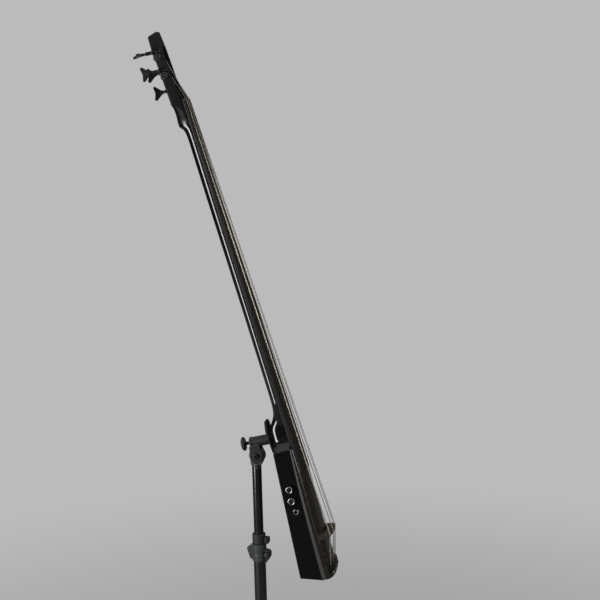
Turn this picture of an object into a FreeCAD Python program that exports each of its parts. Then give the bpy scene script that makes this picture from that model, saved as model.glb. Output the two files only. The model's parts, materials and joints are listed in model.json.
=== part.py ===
import FreeCAD, Part
import math
import os

# Electric upright double bass on a telescopic tripod stand.
# Millimetres, +Z up, floor at z = 0. The strings face -Y, the player stands on the +Y side,
# and -X is the low-string side, which carries the knobs.
# The instrument is drawn in its own leaning frame: x across, y = depth behind the fingerboard
# crown, z = minus the "station", the distance below the nut. The stand is drawn round the axis
# of its pole.

V = FreeCAD.Vector
Placement = FreeCAD.Placement
Rotation = FreeCAD.Rotation
ACROSS, BACKWARD, UP = V(1, 0, 0), V(0, 1, 0), V(0, 0, 1)

doc = FreeCAD.newDocument("upright_bass")

# ------------------------------------------------------------------ driving dimensions
CELLS = [
    ("pole_y", 40.1, "pole axis behind the footprint centre"),
    ("lean_angle", 16.65, "lean of the fingerboard from vertical, degrees"),
    ("nut_height", 1687.6, "height of the nut"),
    ("nut_behind_pole", 133.4, "nut behind the pole axis"),
    ("string_length", 1067.0, "nut to bridge"),
    ("nut_width", 43.0, "fingerboard width at the nut"),
    ("board_length", 905.0, "fingerboard length"),
    ("board_end_width", 84.0, "fingerboard width at its end"),
    ("board_radius", 92.0, "fingerboard cross arch"),
    ("board_edge_nut", 8.0, "glue plane depth at the nut"),
    ("board_edge_end", 16.0, "glue plane depth at the end"),
    ("neck_back_top", 28.2, "neck depth near the head"),
    ("neck_back_low", 34.6, "neck depth near the heel"),
    ("heel_depth", 58.0, "heel depth"),
    ("body_top_s", 843.0, "top end of the body"),
    ("body_end_back", 1145.8, "bottom end at the back"),
    ("body_end_front", 1162.7, "bottom end at the side's front edge"),
    ("body_back_top", 59.2, "back depth at the top end"),
    ("body_back_end", 88.1, "back depth at the bottom end"),
    ("body_half_top", 50.0, "half width at the top end"),
    ("body_half_end", 60.0, "half width at the bottom end"),
    ("head_half", 23.0, "half width of the head"),
    ("head_tip_half", 14.0, "half width at the tip"),
    ("head_length", 167.5, "head length above the nut"),
    ("cheek", 8.0, "cheek thickness of the open head"),
    ("post_radius", 5.0, "string post"),
    ("gear_radius", 9.0, "gear wheel"),
    ("worm_offset", 11.5, "worm axis to post axis"),
    ("worm_radius", 2.4, "worm"),
    ("key_tilt", 6.0, "tuner shaft tilt, degrees"),
    ("key_blade", 33.0, "tuner key width"),
    ("knob_radius", 8.6, "control knob"),
    ("knob_height", 11.0, "control knob height"),
    ("jack_bore", 3.25, "output jack bore radius"),
    ("bridge_half", 46.0, "half width of the bridge at its feet"),
    ("string_edge_x", 37.0, "outer strings at the bridge"),
    ("nut_edge_x", 16.5, "outer strings at the nut"),
    ("pivot_y", -2.8, "tilt bolt relative to the pole axis, negative is in front"),
    ("pivot_height", 847.0, "tilt bolt height"),
    ("upper_tube_radius", 11.4, "upper tube outside"),
    ("upper_tube_wall", 1.5, "upper tube wall"),
    ("upper_tube_top", 822.0, "upper tube top"),
    ("upper_tube_end", 300.0, "upper tube lower end"),
    ("lower_tube_radius", 14.6, "lower tube outside"),
    ("lower_tube_wall", 1.5, "lower tube wall"),
    ("lower_tube_top", 590.0, "lower tube top"),
    ("lower_tube_end", 96.0, "lower tube bottom"),
    ("clamp_top", 627.0, "height clamp top"),
    ("clamp_bottom", 584.0, "height clamp bottom"),
    ("clamp_radius", 17.3, "height clamp outside"),
    ("collar_top", 652.0, "stop collar top"),
    ("collar_bottom", 628.0, "stop collar bottom"),
    ("collar_radius", 16.0, "stop collar outside"),
    ("leg_pin_radius_pos", 40.0, "leg pin from the pole axis"),
    ("leg_pin_height", 150.0, "leg pin height"),
    ("leg_reach", 318.0, "leg end from the pole axis"),
    ("leg_deep", 25.0, "leg tube height"),
    ("leg_wide", 14.0, "leg tube width"),
    ("leg_wall", 1.5, "leg tube wall"),
    ("leg_bore", 4.05, "leg pin hole radius"),
    ("leg_pin", 4.0, "leg pin radius"),
    ("rod_radius", 4.0, "mounting screw radius"),
    ("grip_radius", 16.6, "mounting knob radius"),
    ("grip_thick", 8.5, "mounting knob thickness"),
    ("barrel_radius", 12.5, "bracket barrel radius"),
]
sheet = doc.addObject("Spreadsheet::Sheet", "Dimensions")
for row, (alias, value, words) in enumerate(CELLS, start=1):
    sheet.set("A%d" % row, words)
    sheet.set("B%d" % row, repr(value))
    sheet.setAlias("B%d" % row, alias)
doc.recompute()


def size(alias):
    return float(getattr(sheet, alias))


POLE_Y = size("pole_y")
NUT_POINT = V(0, POLE_Y + size("nut_behind_pole"), size("nut_height"))
LEAN = Placement(NUT_POINT, Rotation(ACROSS, -size("lean_angle")))
POLE = Placement(V(0, POLE_Y, 0), Rotation())
NODES = []


# ------------------------------------------------------------------ helpers
def at(x, station, depth):
    """Point of the leaning frame."""
    return V(x, depth, -station)


def register(obj, name, placement=None):
    """Label an object as an exported piece."""
    obj.Label = name
    if placement is not None:
        obj.Placement = placement
    NODES.append(obj)


def feature(name, shape, placement):
    solid = doc.addObject("Part::Feature", name + "_solid")
    solid.Shape = shape
    register(solid, name, placement)


def cyl(start, direction, radius, length):
    return Part.makeCylinder(radius, length, start, direction)


def pole_cyl(radius, bottom, top):
    return cyl(V(0, 0, bottom), UP, radius, top - bottom)


def block(x0, x1, s0, s1, d0, d1):
    """Box between two x, two stations and two depths."""
    return Part.makeBox(x1 - x0, d1 - d0, s1 - s0, V(x0, d0, -s1))


def prism(points, direction):
    return Part.Face(Part.makePolygon(points + [points[0]])).extrude(direction)


def yz_prism(outline, x_from, width):
    """Outline of (y, z), extruded across."""
    return prism([V(x_from, y, z) for y, z in outline], V(width, 0, 0))


def side_prism(outline, x_from, width):
    """Outline of (station, depth), extruded across."""
    return yz_prism([(d, -s) for s, d in outline], x_from, width)


def front_prism(outline, depth_from, length):
    """Outline of (x, station), extruded in depth."""
    return prism([at(x, s, depth_from) for x, s in outline], V(0, length, 0))


def hexagon(y, z, radius):
    angles = [math.radians(60 * k) for k in range(6)]
    return [(y + radius * math.cos(a), z + radius * math.sin(a)) for a in angles]


def bspline(points, closed=False):
    curve = Part.BSplineCurve()
    curve.interpolate(points, closed)
    return curve.toShape()


def loft(wires, ruled=False):
    return Part.makeLoft(wires, True, ruled)


def fuse(shapes):
    return shapes[0].fuse(list(shapes[1:])).removeSplitter()


def cut_each(shape, tools):
    for tool in tools:
        shape = shape.cut(tool)
    return shape


def moved(shape, placement):
    shape.Placement = placement.multiply(shape.Placement)
    return shape


def round_edges(shape, radius, edges, least_share=None):
    """Fillet the edges. The shape stays sharp where the fillet fails, or where the result is
    invalid or keeps less than the given share of the volume."""
    try:
        rounded = shape.makeFillet(radius, edges)
        if least_share is None:
            return rounded
        if rounded.isValid() and rounded.Volume > least_share * shape.Volume:
            return rounded
    except Exception:
        pass
    return shape


def lerp(table, station):
    """Linear value in a table of (station, value)."""
    for (a, value_a), (b, value_b) in zip(table, table[1:]):
        if station <= b:
            return value_a + (value_b - value_a) * (station - a) / (b - a)
    return table[-1][1]


def superellipse(station, x_radius, level, rise, power, angles):
    """Points of a half superellipse standing on the depth `level`."""
    points = []
    for angle in angles:
        cosine = math.cos(angle)
        x = x_radius * math.copysign(abs(cosine) ** (2 / power), cosine)
        points.append(at(x, station, level + rise * abs(math.sin(angle)) ** (2 / power)))
    return points


# ------------------------------------------------------------------ sketched bodies
def closed_lines(points):
    corners = [V(a, b, 0) for a, b in points]
    return [Part.LineSegment(a, b) for a, b in zip(corners, corners[1:] + corners[:1])]


def circle(x, radius):
    return Part.Circle(V(x, 0, 0), V(0, 0, 1), radius)


def sketch(body, name, role, geometry, offset=0.0):
    """Sketch on one of the body's own origin planes."""
    plane = next(f for f in body.Origin.OriginFeatures if f.Role == role)
    sk = body.newObject("Sketcher::SketchObject", name)
    sk.AttachmentSupport = [(plane, "")]
    sk.MapMode = "FlatFace"
    if offset:
        sk.AttachmentOffset = Placement(V(0, 0, offset), Rotation())
    for item in geometry:
        sk.addGeometry(item, False)
    return sk


def turn(body, name, profile):
    """Revolve a profile of (radius, height) round the body's own Z axis."""
    sk = sketch(body, name + "_outline", "XZ_Plane", closed_lines(profile))
    turned = body.newObject("PartDesign::Revolution", name + "_turned")
    turned.Profile = sk
    turned.ReferenceAxis = (sk, ["V_Axis"])
    turned.Angle = 360.0
    return turned


def pocket(body, name, profile, volume_before, least, **settings):
    """Pocket that has to remove at least the given volume."""
    cut = body.newObject("PartDesign::Pocket", name)
    cut.Profile = profile
    for key, value in settings.items():
        setattr(cut, key, value)
    doc.recompute()
    if cut.Shape.Volume > volume_before - least:
        raise RuntimeError(name + " cuts nothing")
    return cut


# ------------------------------------------------------------------ shared curves
BOARD_LENGTH = size("board_length")
NUT_HALF = size("nut_width") / 2
BOARD_END_HALF = size("board_end_width") / 2
GLUE_NUT, GLUE_END = size("board_edge_nut"), size("board_edge_end")
BODY_TOP = size("body_top_s")
BODY_BOTTOM = size("body_end_front")
BACK_SLOPE = ((size("body_back_end") - size("body_back_top"))
              / (size("body_end_back") - BODY_TOP))
BACK_ANGLE = math.degrees(math.atan(BACK_SLOPE))
ARCH_POWER = 2.5        # superellipse power of the carved top

# Each of these is (station, value).
GLUE_PLANE = [(-40.0, GLUE_NUT), (0.0, GLUE_NUT), (BOARD_LENGTH, GLUE_END),
              (2 * BOARD_LENGTH, 2 * GLUE_END - GLUE_NUT)]
# depth of the side's front edge
SIDE_EDGE = [
    (820.0, 15.4), (BODY_TOP, 17.4), (900.0, 22.4), (955.0, 26.4), (1010.0, 29.8),
    (1061.5, 32.6), (1110.0, 34.9), (1162.7, 37.2), (1200.0, 38.8),
]
# bevel round the carved top, across and in depth
BEVEL_X = [(820.0, 2.2), (BODY_TOP, 2.4), (955.0, 4.0), (1061.5, 5.6), (1200.0, 8.4)]
BEVEL_Y = [(820.0, 2.0), (BODY_TOP, 2.2), (955.0, 3.8), (1061.5, 5.2), (1200.0, 7.6)]
# depth of the carved top on the centre line
CROWN = [
    (820.0, 7.2), (BODY_TOP, 6.4), (905.0, 4.9), (943.0, 6.0), (975.0, 7.8), (1006.0, 9.3),
    (1043.0, 10.4), (1100.0, 11.8), (1163.0, 13.6), (1200.0, 15.0),
]
BODY_STATIONS = [BODY_TOP, 874.0, 905.0, 943.0, 975.0, 1006.0, 1043.0, 1100.0, 1150.0, 1190.0]
BODY_OVERRUN = BODY_STATIONS[-1]    # the body is drawn past its bottom end, then trimmed


def glue_depth(station):
    return lerp(GLUE_PLANE, station)


def board_half(station):
    return NUT_HALF + (BOARD_END_HALF - NUT_HALF) * station / BOARD_LENGTH


def back_depth(station):
    return size("body_back_top") + (station - BODY_TOP) * BACK_SLOPE


def body_half(station):
    top, end = size("body_half_top"), size("body_half_end")
    return top + (end - top) * (station - BODY_TOP) / (BODY_BOTTOM - BODY_TOP)


def arch_numbers(station, lift=0.0):
    """Half width, edge depth and rise of the carved top's arch."""
    half_width = body_half(station) - lerp(BEVEL_X, station)
    edge = lerp(SIDE_EDGE, station) - lerp(BEVEL_Y, station)
    return half_width, edge, edge - lerp(CROWN, station) + lift


def arch_depth(station, x):
    """Depth of the carved top's surface."""
    half_width, edge, rise = arch_numbers(station)
    share = max(0.0, 1 - abs(x / half_width) ** ARCH_POWER)
    return edge - rise * share ** (1 / ARCH_POWER)


def arch_wire(station, lift=0.0):
    half_width, edge, rise = arch_numbers(station, lift)
    steps = 18
    angles = [math.pi * (1 - i / steps) for i in range(steps + 1)]
    points = superellipse(station, half_width, edge, -rise, ARCH_POWER, angles)
    left = at(-body_half(station), station, lerp(SIDE_EDGE, station))
    right = at(body_half(station), station, lerp(SIDE_EDGE, station))
    return Part.Wire([
        Part.makeLine(left, points[0]),
        bspline(points),
        Part.makeLine(points[-1], right),
        Part.makeLine(right, left),
    ])


def end_station(depth):
    """Station of the body's sloping bottom end."""
    front_depth = lerp(SIDE_EDGE, BODY_BOTTOM)
    slope = (BODY_BOTTOM - size("body_end_back")) / (size("body_back_end") - front_depth)
    return BODY_BOTTOM + (front_depth - depth) * slope


def board_wire(station, grow=0.0, drawn_at=None):
    """Fingerboard section, grown at its sides and crown, optionally drawn at another station."""
    radius = size("board_radius")
    half_width = board_half(station) + grow
    place = station if drawn_at is None else drawn_at
    edge = radius - math.sqrt(radius * radius - half_width * half_width) - grow
    glue = glue_depth(station)
    left, right = at(-half_width, place, edge), at(half_width, place, edge)
    right_glue, left_glue = at(half_width, place, glue), at(-half_width, place, glue)
    return Part.Wire([
        Part.Arc(left, at(0, place, -grow), right).toShape(),
        Part.makeLine(right, right_glue),
        Part.makeLine(right_glue, left_glue),
        Part.makeLine(left_glue, left),
    ])


def back_box(x0, x1, s0, s1, below, above):
    """Box parallel to the back face: from `below` under it to `above` over it."""
    length = (s1 - s0) / math.cos(math.radians(BACK_ANGLE))
    box = Part.makeBox(x1 - x0, below + above, length)
    box.translate(V(x0, -below, -length))
    return moved(box, Placement(at(0, s0, back_depth(s0)), Rotation(ACROSS, BACK_ANGLE)))


def below_back(x, station, distance):
    return at(x, station, back_depth(station) - distance)


# ------------------------------------------------------------------ strings
NUT_X, BRIDGE_X = size("nut_edge_x"), size("string_edge_x")
POST_RADIUS = size("post_radius")
HEAD_HALF = size("head_half")
# nut x, bridge x, anchor x, radius, depth of the string's back at the nut, bridge depth
STRINGS = {
    "e_string": (-NUT_X, -BRIDGE_X, -34.0, 1.35, 0.9, -8.6),
    "a_string": (-NUT_X / 3, -BRIDGE_X / 3, -11.4, 1.05, -0.4, -12.4),
    "d_string": (NUT_X / 3, BRIDGE_X / 3, 11.4, 0.85, -0.4, -12.4),
    "g_string": (NUT_X, BRIDGE_X, 34.0, 0.65, 0.9, -8.6),
}
# post station, post depth, side (-1 is the low-string side), turn of the key in degrees
TUNERS = {
    "a": (-111.0, 29.6, -1, 73.0),
    "d": (-89.0, 28.6, 1, 12.0),
    "e": (-67.0, 27.4, -1, -8.0),
    "g": (-45.0, 26.4, 1, 10.0),
}
ANCHOR_TOP, ANCHOR_BOTTOM = 1138.0, 1155.0
ANCHOR_STATION = 1146.0     # where the strings' depth in the anchor bar is taken
ANCHOR_LIFT = 5.6           # anchor bar above the carved top
WIND_THICKEN = 1.07         # radius of a wind relative to the string


def make_string(name):
    """String from its ball end to its winds on the post, and its path."""
    nut_x, bridge_x, anchor_x, radius, nut_back, bridge_depth = STRINGS[name]
    post_station, post_depth = TUNERS[name[0]][:2]
    nut_depth = nut_back - radius
    anchor_depth = arch_depth(ANCHOR_STATION, anchor_x) - 2.75
    post_x = nut_x * 0.5
    # the tangent from the nut to the front of the winds
    wind_radius = POST_RADIUS + radius * WIND_THICKEN + 0.06
    drop = post_depth - nut_depth
    distance = math.hypot(post_station, drop)
    offset_angle = math.asin(wind_radius / distance)
    angle = math.atan2(drop, post_station) + offset_angle
    reach = distance * math.cos(offset_angle)
    path = [
        at(anchor_x, ANCHOR_BOTTOM + 4.0, anchor_depth + 0.3),
        at(anchor_x, ANCHOR_TOP - 2.0, anchor_depth),
        at(bridge_x, size("string_length"), bridge_depth),
        at(nut_x, 0.0, nut_depth),
        at(post_x, reach * math.cos(angle), nut_depth + reach * math.sin(angle)),
    ]
    parts = []
    for a, b in zip(path, path[1:]):
        overlap = 0.6 if b is path[-1] else 0.0
        parts.append(cyl(a, b - a, radius, (b - a).Length + overlap))
    for bend in path[1:4]:
        parts.append(Part.makeSphere(radius * 1.05, bend))
    side = 1 if nut_x > 0 else -1
    for k in range(3):
        centre = at(post_x - side * k * radius * 1.9, post_station, post_depth)
        parts.append(Part.makeTorus(wind_radius, radius * WIND_THICKEN, centre, ACROSS))
    # ball end below the anchor bar
    parts.append(cyl(at(anchor_x, ANCHOR_BOTTOM + 0.1, anchor_depth + 0.3), V(0, 0, -1),
                     max(2.4, radius + 0.9), 4.2))
    whole = fuse(parts)
    length = sum((b - a).Length for a, b in zip(path, path[1:]))
    if len(whole.Solids) != 1 or whole.Volume < 0.98 * math.pi * radius * radius * length:
        raise RuntimeError(name + " is broken")
    return whole, path


# ------------------------------------------------------------------ neck with head and heel
HEAD_LENGTH = size("head_length")
TIP_HALF = size("head_tip_half")
TIP_CORNER = -128.0         # station where the head starts to narrow to its tip
HEEL_DEPTH = size("heel_depth")
BACK_TOP, BACK_LOW = size("neck_back_top"), size("neck_back_low")
TONGUE_HALF = 24.0          # tongue of the neck inside the body
TONGUE_END = 900.0

# (station, depth)
HEAD_SIDE = [
    (-HEAD_LENGTH, 18.3), (-HEAD_LENGTH + 5.5, 42.6), (-59.0, 38.6), (12.0, 37.9),
    (46.0, 40.0), (53.0, 39.6), (57.5, 36.6), (60.5, 33.6), (66.0, 31.0), (75.0, 29.0),
    (75.0, glue_depth(75.0)), (2.0, glue_depth(2.0)), (-3.0, GLUE_NUT), (-3.0, 3.4),
    (-11.0, 5.0), (-20.0, 8.4), (-31.0, 12.4), (-43.0, 15.1), (-100.0, 16.6),
]
# (x, station)
HEAD_FRONT = [
    (-TIP_HALF, -HEAD_LENGTH), (TIP_HALF, -HEAD_LENGTH), (HEAD_HALF, TIP_CORNER),
    (HEAD_HALF, 24.0), (board_half(60.0) - 0.6, 60.0), (board_half(78.0) - 1.0, 78.0),
    (-board_half(78.0) + 1.0, 78.0), (-board_half(60.0) + 0.6, 60.0), (-HEAD_HALF, 24.0),
    (-HEAD_HALF, TIP_CORNER),
]
# Neck sections: station, half width beyond the fingerboard's, back depth, superellipse power.
# Neighbouring lofts share a section.
NECK_END = (730.0, 0.0, BACK_LOW, 2.35)
HEEL_END = (806.0, -12.3, HEEL_DEPTH + 0.1, 4.8)
NECK = [
    (52.0, 0.0, BACK_TOP - 0.4, 2.3), (90.0, 0.0, BACK_TOP, 2.3), (200.0, 0.0, 29.6, 2.3),
    (290.0, 0.0, 30.4, 2.3), (478.0, 0.0, 31.4, 2.3), (640.0, 0.0, 33.0, 2.3),
    (710.0, 0.0, BACK_LOW - 0.6, 2.3), NECK_END,
]
HEEL = [
    NECK_END, (745.0, -2.5, 36.4, 2.4), (757.0, -6.0, 39.3, 2.5), (766.0, -9.0, 43.2, 2.7),
    (774.0, -11.0, 48.2, 3.0), (781.0, -12.0, 53.4, 3.4), (787.0, -12.5, 57.0, 3.9),
    (794.0, -12.5, HEEL_DEPTH, 4.4), HEEL_END,
]
SHOULDER = [
    HEEL_END, (816.0, -11.0, HEEL_DEPTH + 0.4, 5.4), (824.0, -8.0, HEEL_DEPTH + 0.6, 6.2),
    (831.0, -3.0, HEEL_DEPTH + 0.8, 7.4), (837.0, 3.4, HEEL_DEPTH + 1.0, 9.0),
    (BODY_TOP, size("body_half_top") - board_half(BODY_TOP) - 0.2, size("body_back_top"), 12.0),
]


def make_head():
    head = side_prism(HEAD_SIDE, -40, 80).common(front_prism(HEAD_FRONT, -20, 90))
    # the nut end narrows to the fingerboard's width
    for side in (-1, 1):
        outside = side * (HEAD_HALF + 3)
        head = head.cut(front_prism([
            (side * board_half(0.0), -14.0), (outside, -14.0), (outside, 90.0),
            (side * board_half(90.0), 90.0)], -5, 15.5))
    return head


def neck_loft(table):
    """Loft through D sections: flat on the glue plane, rounded at the back."""
    steps = 12
    angles = [math.pi * i / steps for i in range(steps + 1)]
    wires = []
    for station, widen, back, power in table:
        half_width = board_half(station) - 0.4 + widen
        glue = glue_depth(station)
        points = superellipse(station, -half_width, glue, back - glue, power, angles)
        wires.append(Part.Wire([bspline(points), Part.makeLine(points[-1], points[0])]))
    return loft(wires)


def make_head_slot():
    """Open slot for the strings; its floor deepens towards the tip to clear the winds."""
    half = HEAD_HALF - size("cheek")
    outline = [(-half - 2.6, -6.0), (half + 2.6, -6.0), (half, -24.0), (half, -118.0),
               (8.0, -131.0), (-8.0, -131.0), (-half, -118.0), (-half, -24.0)]
    floor = [(-2.0, -10), (-2.0, 33.9), (-140.0, 39.1), (-140.0, -10)]
    return front_prism(outline, -10, 60).common(side_prism(floor, -40, 80))


# The truss rod lies parallel to the glue plane, in a channel below the fingerboard.
ROD_TOP = 20.0
ROD_BLOCK_GLUE = glue_depth(804.0)      # glue plane at the middle of the rod's end block
ROD_DIRECTION = V(0, (glue_depth(810.0) - glue_depth(ROD_TOP)) / 790.0, -1)


def rod_shape(start, rod_radius, rod_length, head_radius, head_length, end_block):
    begin = at(0, start, glue_depth(start) + 4.8)
    return fuse([
        cyl(begin, ROD_DIRECTION, rod_radius, rod_length),
        cyl(begin, ROD_DIRECTION, head_radius, head_length),
        end_block,
    ])


truss_rod = rod_shape(ROD_TOP, 2.4, 788.0, 3.9, 16.0, block(
    -3.8, 3.8, 796.0, 812.0, ROD_BLOCK_GLUE + 1.0, ROD_BLOCK_GLUE + 8.4))
rod_channel = rod_shape(ROD_TOP - 1.0, 2.6, 795.0, 4.4, 20.0, block(
    -4.0, 4.0, 795.0, 813.0, ROD_BLOCK_GLUE + 0.8, ROD_BLOCK_GLUE + 8.6))


def make_neck():
    tongue = block(-TONGUE_HALF, TONGUE_HALF, BODY_TOP - 1.0, TONGUE_END,
                   glue_depth(870.0) + 0.4, 36.0)
    neck = fuse([make_head(), neck_loft(NECK), neck_loft(HEEL), neck_loft(SHOULDER), tongue])
    return neck.cut(make_head_slot()).cut(rod_channel)


# ------------------------------------------------------------------ fingerboard and body
def make_fingerboard():
    board = loft([board_wire(2.0), board_wire(BOARD_LENGTH)], ruled=True)
    edges = [e for e in board.Edges if e.BoundBox.ZLength > 800 and e.CenterOfMass.y < 7.0]
    return round_edges(board, 1.1, edges)


# room for the fingerboard and for the neck's tongue
board_slot = loft([board_wire(2.0, 0.15), board_wire(BOARD_LENGTH + 1.5, 0.15)], ruled=True)
board_slot.translate(V(0, 0.03, 0))
tongue_slot = block(-TONGUE_HALF - 0.05, TONGUE_HALF + 0.05, BODY_TOP - 2, TONGUE_END + 0.05,
                    glue_depth(870.0) - 6.0, 45.0)
# the bottom end of the body is level on the floor stand
below_end = side_prism([(end_station(-40.0), -40.0), (end_station(120.0), 120.0),
                        (1400.0, 120.0), (1400.0, -40.0)], -90, 180)


def make_carved_top():
    top = loft([arch_wire(s) for s in BODY_STATIONS]).cut(below_end)
    end_edges = []
    for edge in top.Edges:
        box = edge.BoundBox
        wide = box.XLength > 80 and abs(edge.CenterOfMass.y) < 26
        if wide and box.ZMax < -1150 and box.YMin < 20:
            end_edges.append(edge)
    top = round_edges(top, 5.0, end_edges, least_share=0.9)
    return top.cut(board_slot).cut(tongue_slot)


def make_core_blank():
    """Body behind the carved top, before its cavity and holes."""
    glue_line = 0.12
    x = -80
    front = [at(x, s, lerp(SIDE_EDGE, s) + glue_line) for s in BODY_STATIONS]
    low = at(x, BODY_OVERRUN, back_depth(BODY_OVERRUN))
    high = at(x, BODY_TOP, back_depth(BODY_TOP))
    outline = Part.Wire([
        bspline(front), Part.makeLine(front[-1], low), Part.makeLine(low, high),
        Part.makeLine(high, front[0])])
    core = Part.Face(outline).extrude(V(-2 * x, 0, 0))
    top_half, low_half = body_half(BODY_TOP), body_half(BODY_OVERRUN)
    core = core.common(front_prism([
        (-top_half, BODY_TOP), (top_half, BODY_TOP), (low_half, BODY_OVERRUN),
        (-low_half, BODY_OVERRUN)], -10, 140))
    core = core.cut(below_end)
    edges = []
    for edge in core.Edges:
        centre = edge.CenterOfMass
        on_back = abs(centre.y - back_depth(-centre.z)) < 0.5
        corner = edge.BoundBox.XLength < 1.0 and -centre.z > 1140
        if (on_back and -centre.z > BODY_TOP + 5) or corner:
            edges.append(edge)
    core = round_edges(core, 2.2, edges, least_share=0.95)
    return core.cut(board_slot).cut(tongue_slot)


# rear cavity, milled from the back: a shallow recess for the cover and two rooms inside
COVER_X0, COVER_X1, COVER_TOP, COVER_BOTTOM = -46.0, 40.0, 900.0, 1096.0
COVER_THICK = 2.2
COVER_GAP = 0.15
cavity = fuse([
    back_box(COVER_X0, COVER_X1, COVER_TOP, COVER_BOTTOM, COVER_THICK, 20.0),
    back_box(-43.5, 34.0, 912.0, 1012.0, 34.8, 20.0),
    back_box(-30.0, 34.0, 1008.0, 1088.0, 24.0, 20.0),
])
cover = back_box(COVER_X0 + COVER_GAP, COVER_X1 - COVER_GAP, COVER_TOP + COVER_GAP,
                 COVER_BOTTOM - COVER_GAP, COVER_THICK, -0.2)
# (x, station)
COVER_SCREWS = [(-42.8, 903.5), (36.6, 903.5), (-42.8, 1092.5), (36.6, 1092.5),
                (36.8, 1000.0), (-42.0, 1050.0)]


def make_cover_screw(x, station):
    centre = below_back(x, station, 0.0)
    tilt = math.radians(BACK_ANGLE)
    outward = V(0, math.cos(tilt), math.sin(tilt))
    return fuse([cyl(centre + outward * 0.9, outward * -1, 2.7, 1.1),
                 cyl(centre, outward * -1, 1.3, 11.0)])


# ------------------------------------------------------------------ controls on the low side
# station and depth of the axes
KNOBS = {"volume_knob": (931.5, 45.1), "tone_knob": (959.0, 48.4)}
JACK = (988.7, 48.1)
WALL_X = -43.4              # inner face of the body's side wall, where the pots sit


def make_pot(station, depth):
    outer = body_half(station) + 1.4
    return fuse([
        cyl(at(WALL_X, station, depth), ACROSS, 7.8, 9.0),
        cyl(at(-outer, station, depth), ACROSS, 3.55, outer + WALL_X),
        cyl(at(WALL_X + 9.0, station, depth), ACROSS, 3.0, 2.0),
        block(-40.0, -38.8, station + 7.0, station + 13.0, depth - 5.0, depth + 5.0),
    ]).cut(cyl(at(-70, station, depth), ACROSS, 3.05, 33.0))


def make_jack():
    station, depth = JACK
    side = body_half(station)
    return fuse([
        cyl(at(-(side + 2.2), station, depth), ACROSS, 5.5, 36.0),
        cyl(at(-(side + 2.2), station, depth), ACROSS, 7.4, 1.9),
        cyl(at(-40.5, station, depth), ACROSS, 8.2, 20.0),
    ]).cut(cyl(at(-(side + 5.0), station, depth), ACROSS, size("jack_bore"), 36.0))


control_holes = [cyl(at(-70, s, d), ACROSS, 3.6, 30.0) for s, d in KNOBS.values()]
control_holes.append(cyl(at(-75, *JACK), ACROSS, 5.6, 34.0))


def make_control_knob(name, station, depth):
    """Turned knob with a dished face, on a shaft that runs in the pot."""
    radius, height = size("knob_radius"), size("knob_height")
    body = doc.addObject("PartDesign::Body", name + "_body")
    body.Tip = turn(body, name, [
        (0.0, -16.0), (3.0, -16.0), (3.0, 0.0), (radius - 0.6, 0.0), (radius, 0.8),
        (radius - 0.35, height - 1.6), (radius - 1.5, height), (radius - 2.6, height - 0.4),
        (radius - 3.6, height - 2.0), (0.0, height - 2.0)])
    base = at(-(body_half(station) + 1.9), station, depth)
    register(body, name, LEAN.multiply(Placement(base, Rotation(BACKWARD, -90))))


# ------------------------------------------------------------------ electronics in the cavity
# boxes parallel to the back: x0, x1, station0, station1, below, above the back face
PREAMP = [
    (-8.0, 30.0, 930.0, 986.0, 19.5, -18.0),
    (2.0, 12.0, 940.0, 946.0, 18.0, -16.0), (2.0, 12.0, 956.0, 962.0, 18.0, -16.0),
    (18.0, 26.0, 938.0, 950.0, 18.0, -12.0), (-4.0, 0.0, 968.0, 980.0, 18.0, -9.0),
    (18.0, 24.0, 966.0, 972.0, 18.0, -11.0),
]
BATTERY = [
    (4.0, 30.0, 1026.0, 1074.0, 22.5, -5.5),
    (9.0, 14.0, 1023.5, 1026.0, 16.0, -11.0), (20.0, 25.0, 1023.5, 1026.0, 16.0, -11.0),
]
LEAD_X, LEAD_STATION = -12.0, 1066.0    # bridge lead, through the top and the core
lead_hole = cyl(at(LEAD_X, LEAD_STATION, 2.0), BACKWARD, 1.6, 70.0)
# wire radius, points of the run
WIRE_RUNS = [
    (0.9, [at(LEAD_X, LEAD_STATION, 9.2), below_back(LEAD_X, LEAD_STATION, 12.0),
           below_back(LEAD_X, 1000.0, 12.0), below_back(LEAD_X, 974.0, 14.0),
           below_back(-11.0, 974.0, 16.2), below_back(-9.3, 974.0, 18.2)]),
    (0.8, [at(-31.6, *KNOBS["tone_knob"]), below_back(-24.0, 959.0, 10.0),
           below_back(-14.0, 950.0, 12.0), below_back(-9.6, 950.0, 18.0)]),
    (0.8, [at(-19.9, *JACK), below_back(-15.0, 992.0, 20.0),
           below_back(2.0, 993.0, 20.0), below_back(2.0, 988.6, 19.2)]),
    (0.8, [below_back(11.5, 1023.3, 13.5), below_back(11.5, 1004.0, 10.0),
           below_back(11.5, 991.0, 14.0), below_back(11.5, 988.3, 18.0)]),
]


def make_wire(radius, points):
    parts = [cyl(a, b - a, radius, (b - a).Length) for a, b in zip(points, points[1:])]
    parts += [Part.makeSphere(radius, bend) for bend in points[1:-1]]
    return fuse(parts)


# ------------------------------------------------------------------ neck bolts
FORWARD = V(0, -1, 0)
NECK_BOLTS = [(-15.0, 866.0), (15.0, 866.0), (-15.0, 888.0), (15.0, 888.0)]    # (x, station)


def make_neck_bolt(x, station):
    """Bolt, and the two holes it needs in the core."""
    bolt = fuse([cyl(below_back(x, station, 4.2), FORWARD, 2.5, 22.0),
                 cyl(below_back(x, station, 0.4), FORWARD, 4.5, 4.0)])
    holes = [cyl(below_back(x, station, -5.0), FORWARD, 4.5, 9.4),
             cyl(below_back(x, station, 0.0), FORWARD, 2.5, 26.5)]
    return bolt, holes


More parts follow.
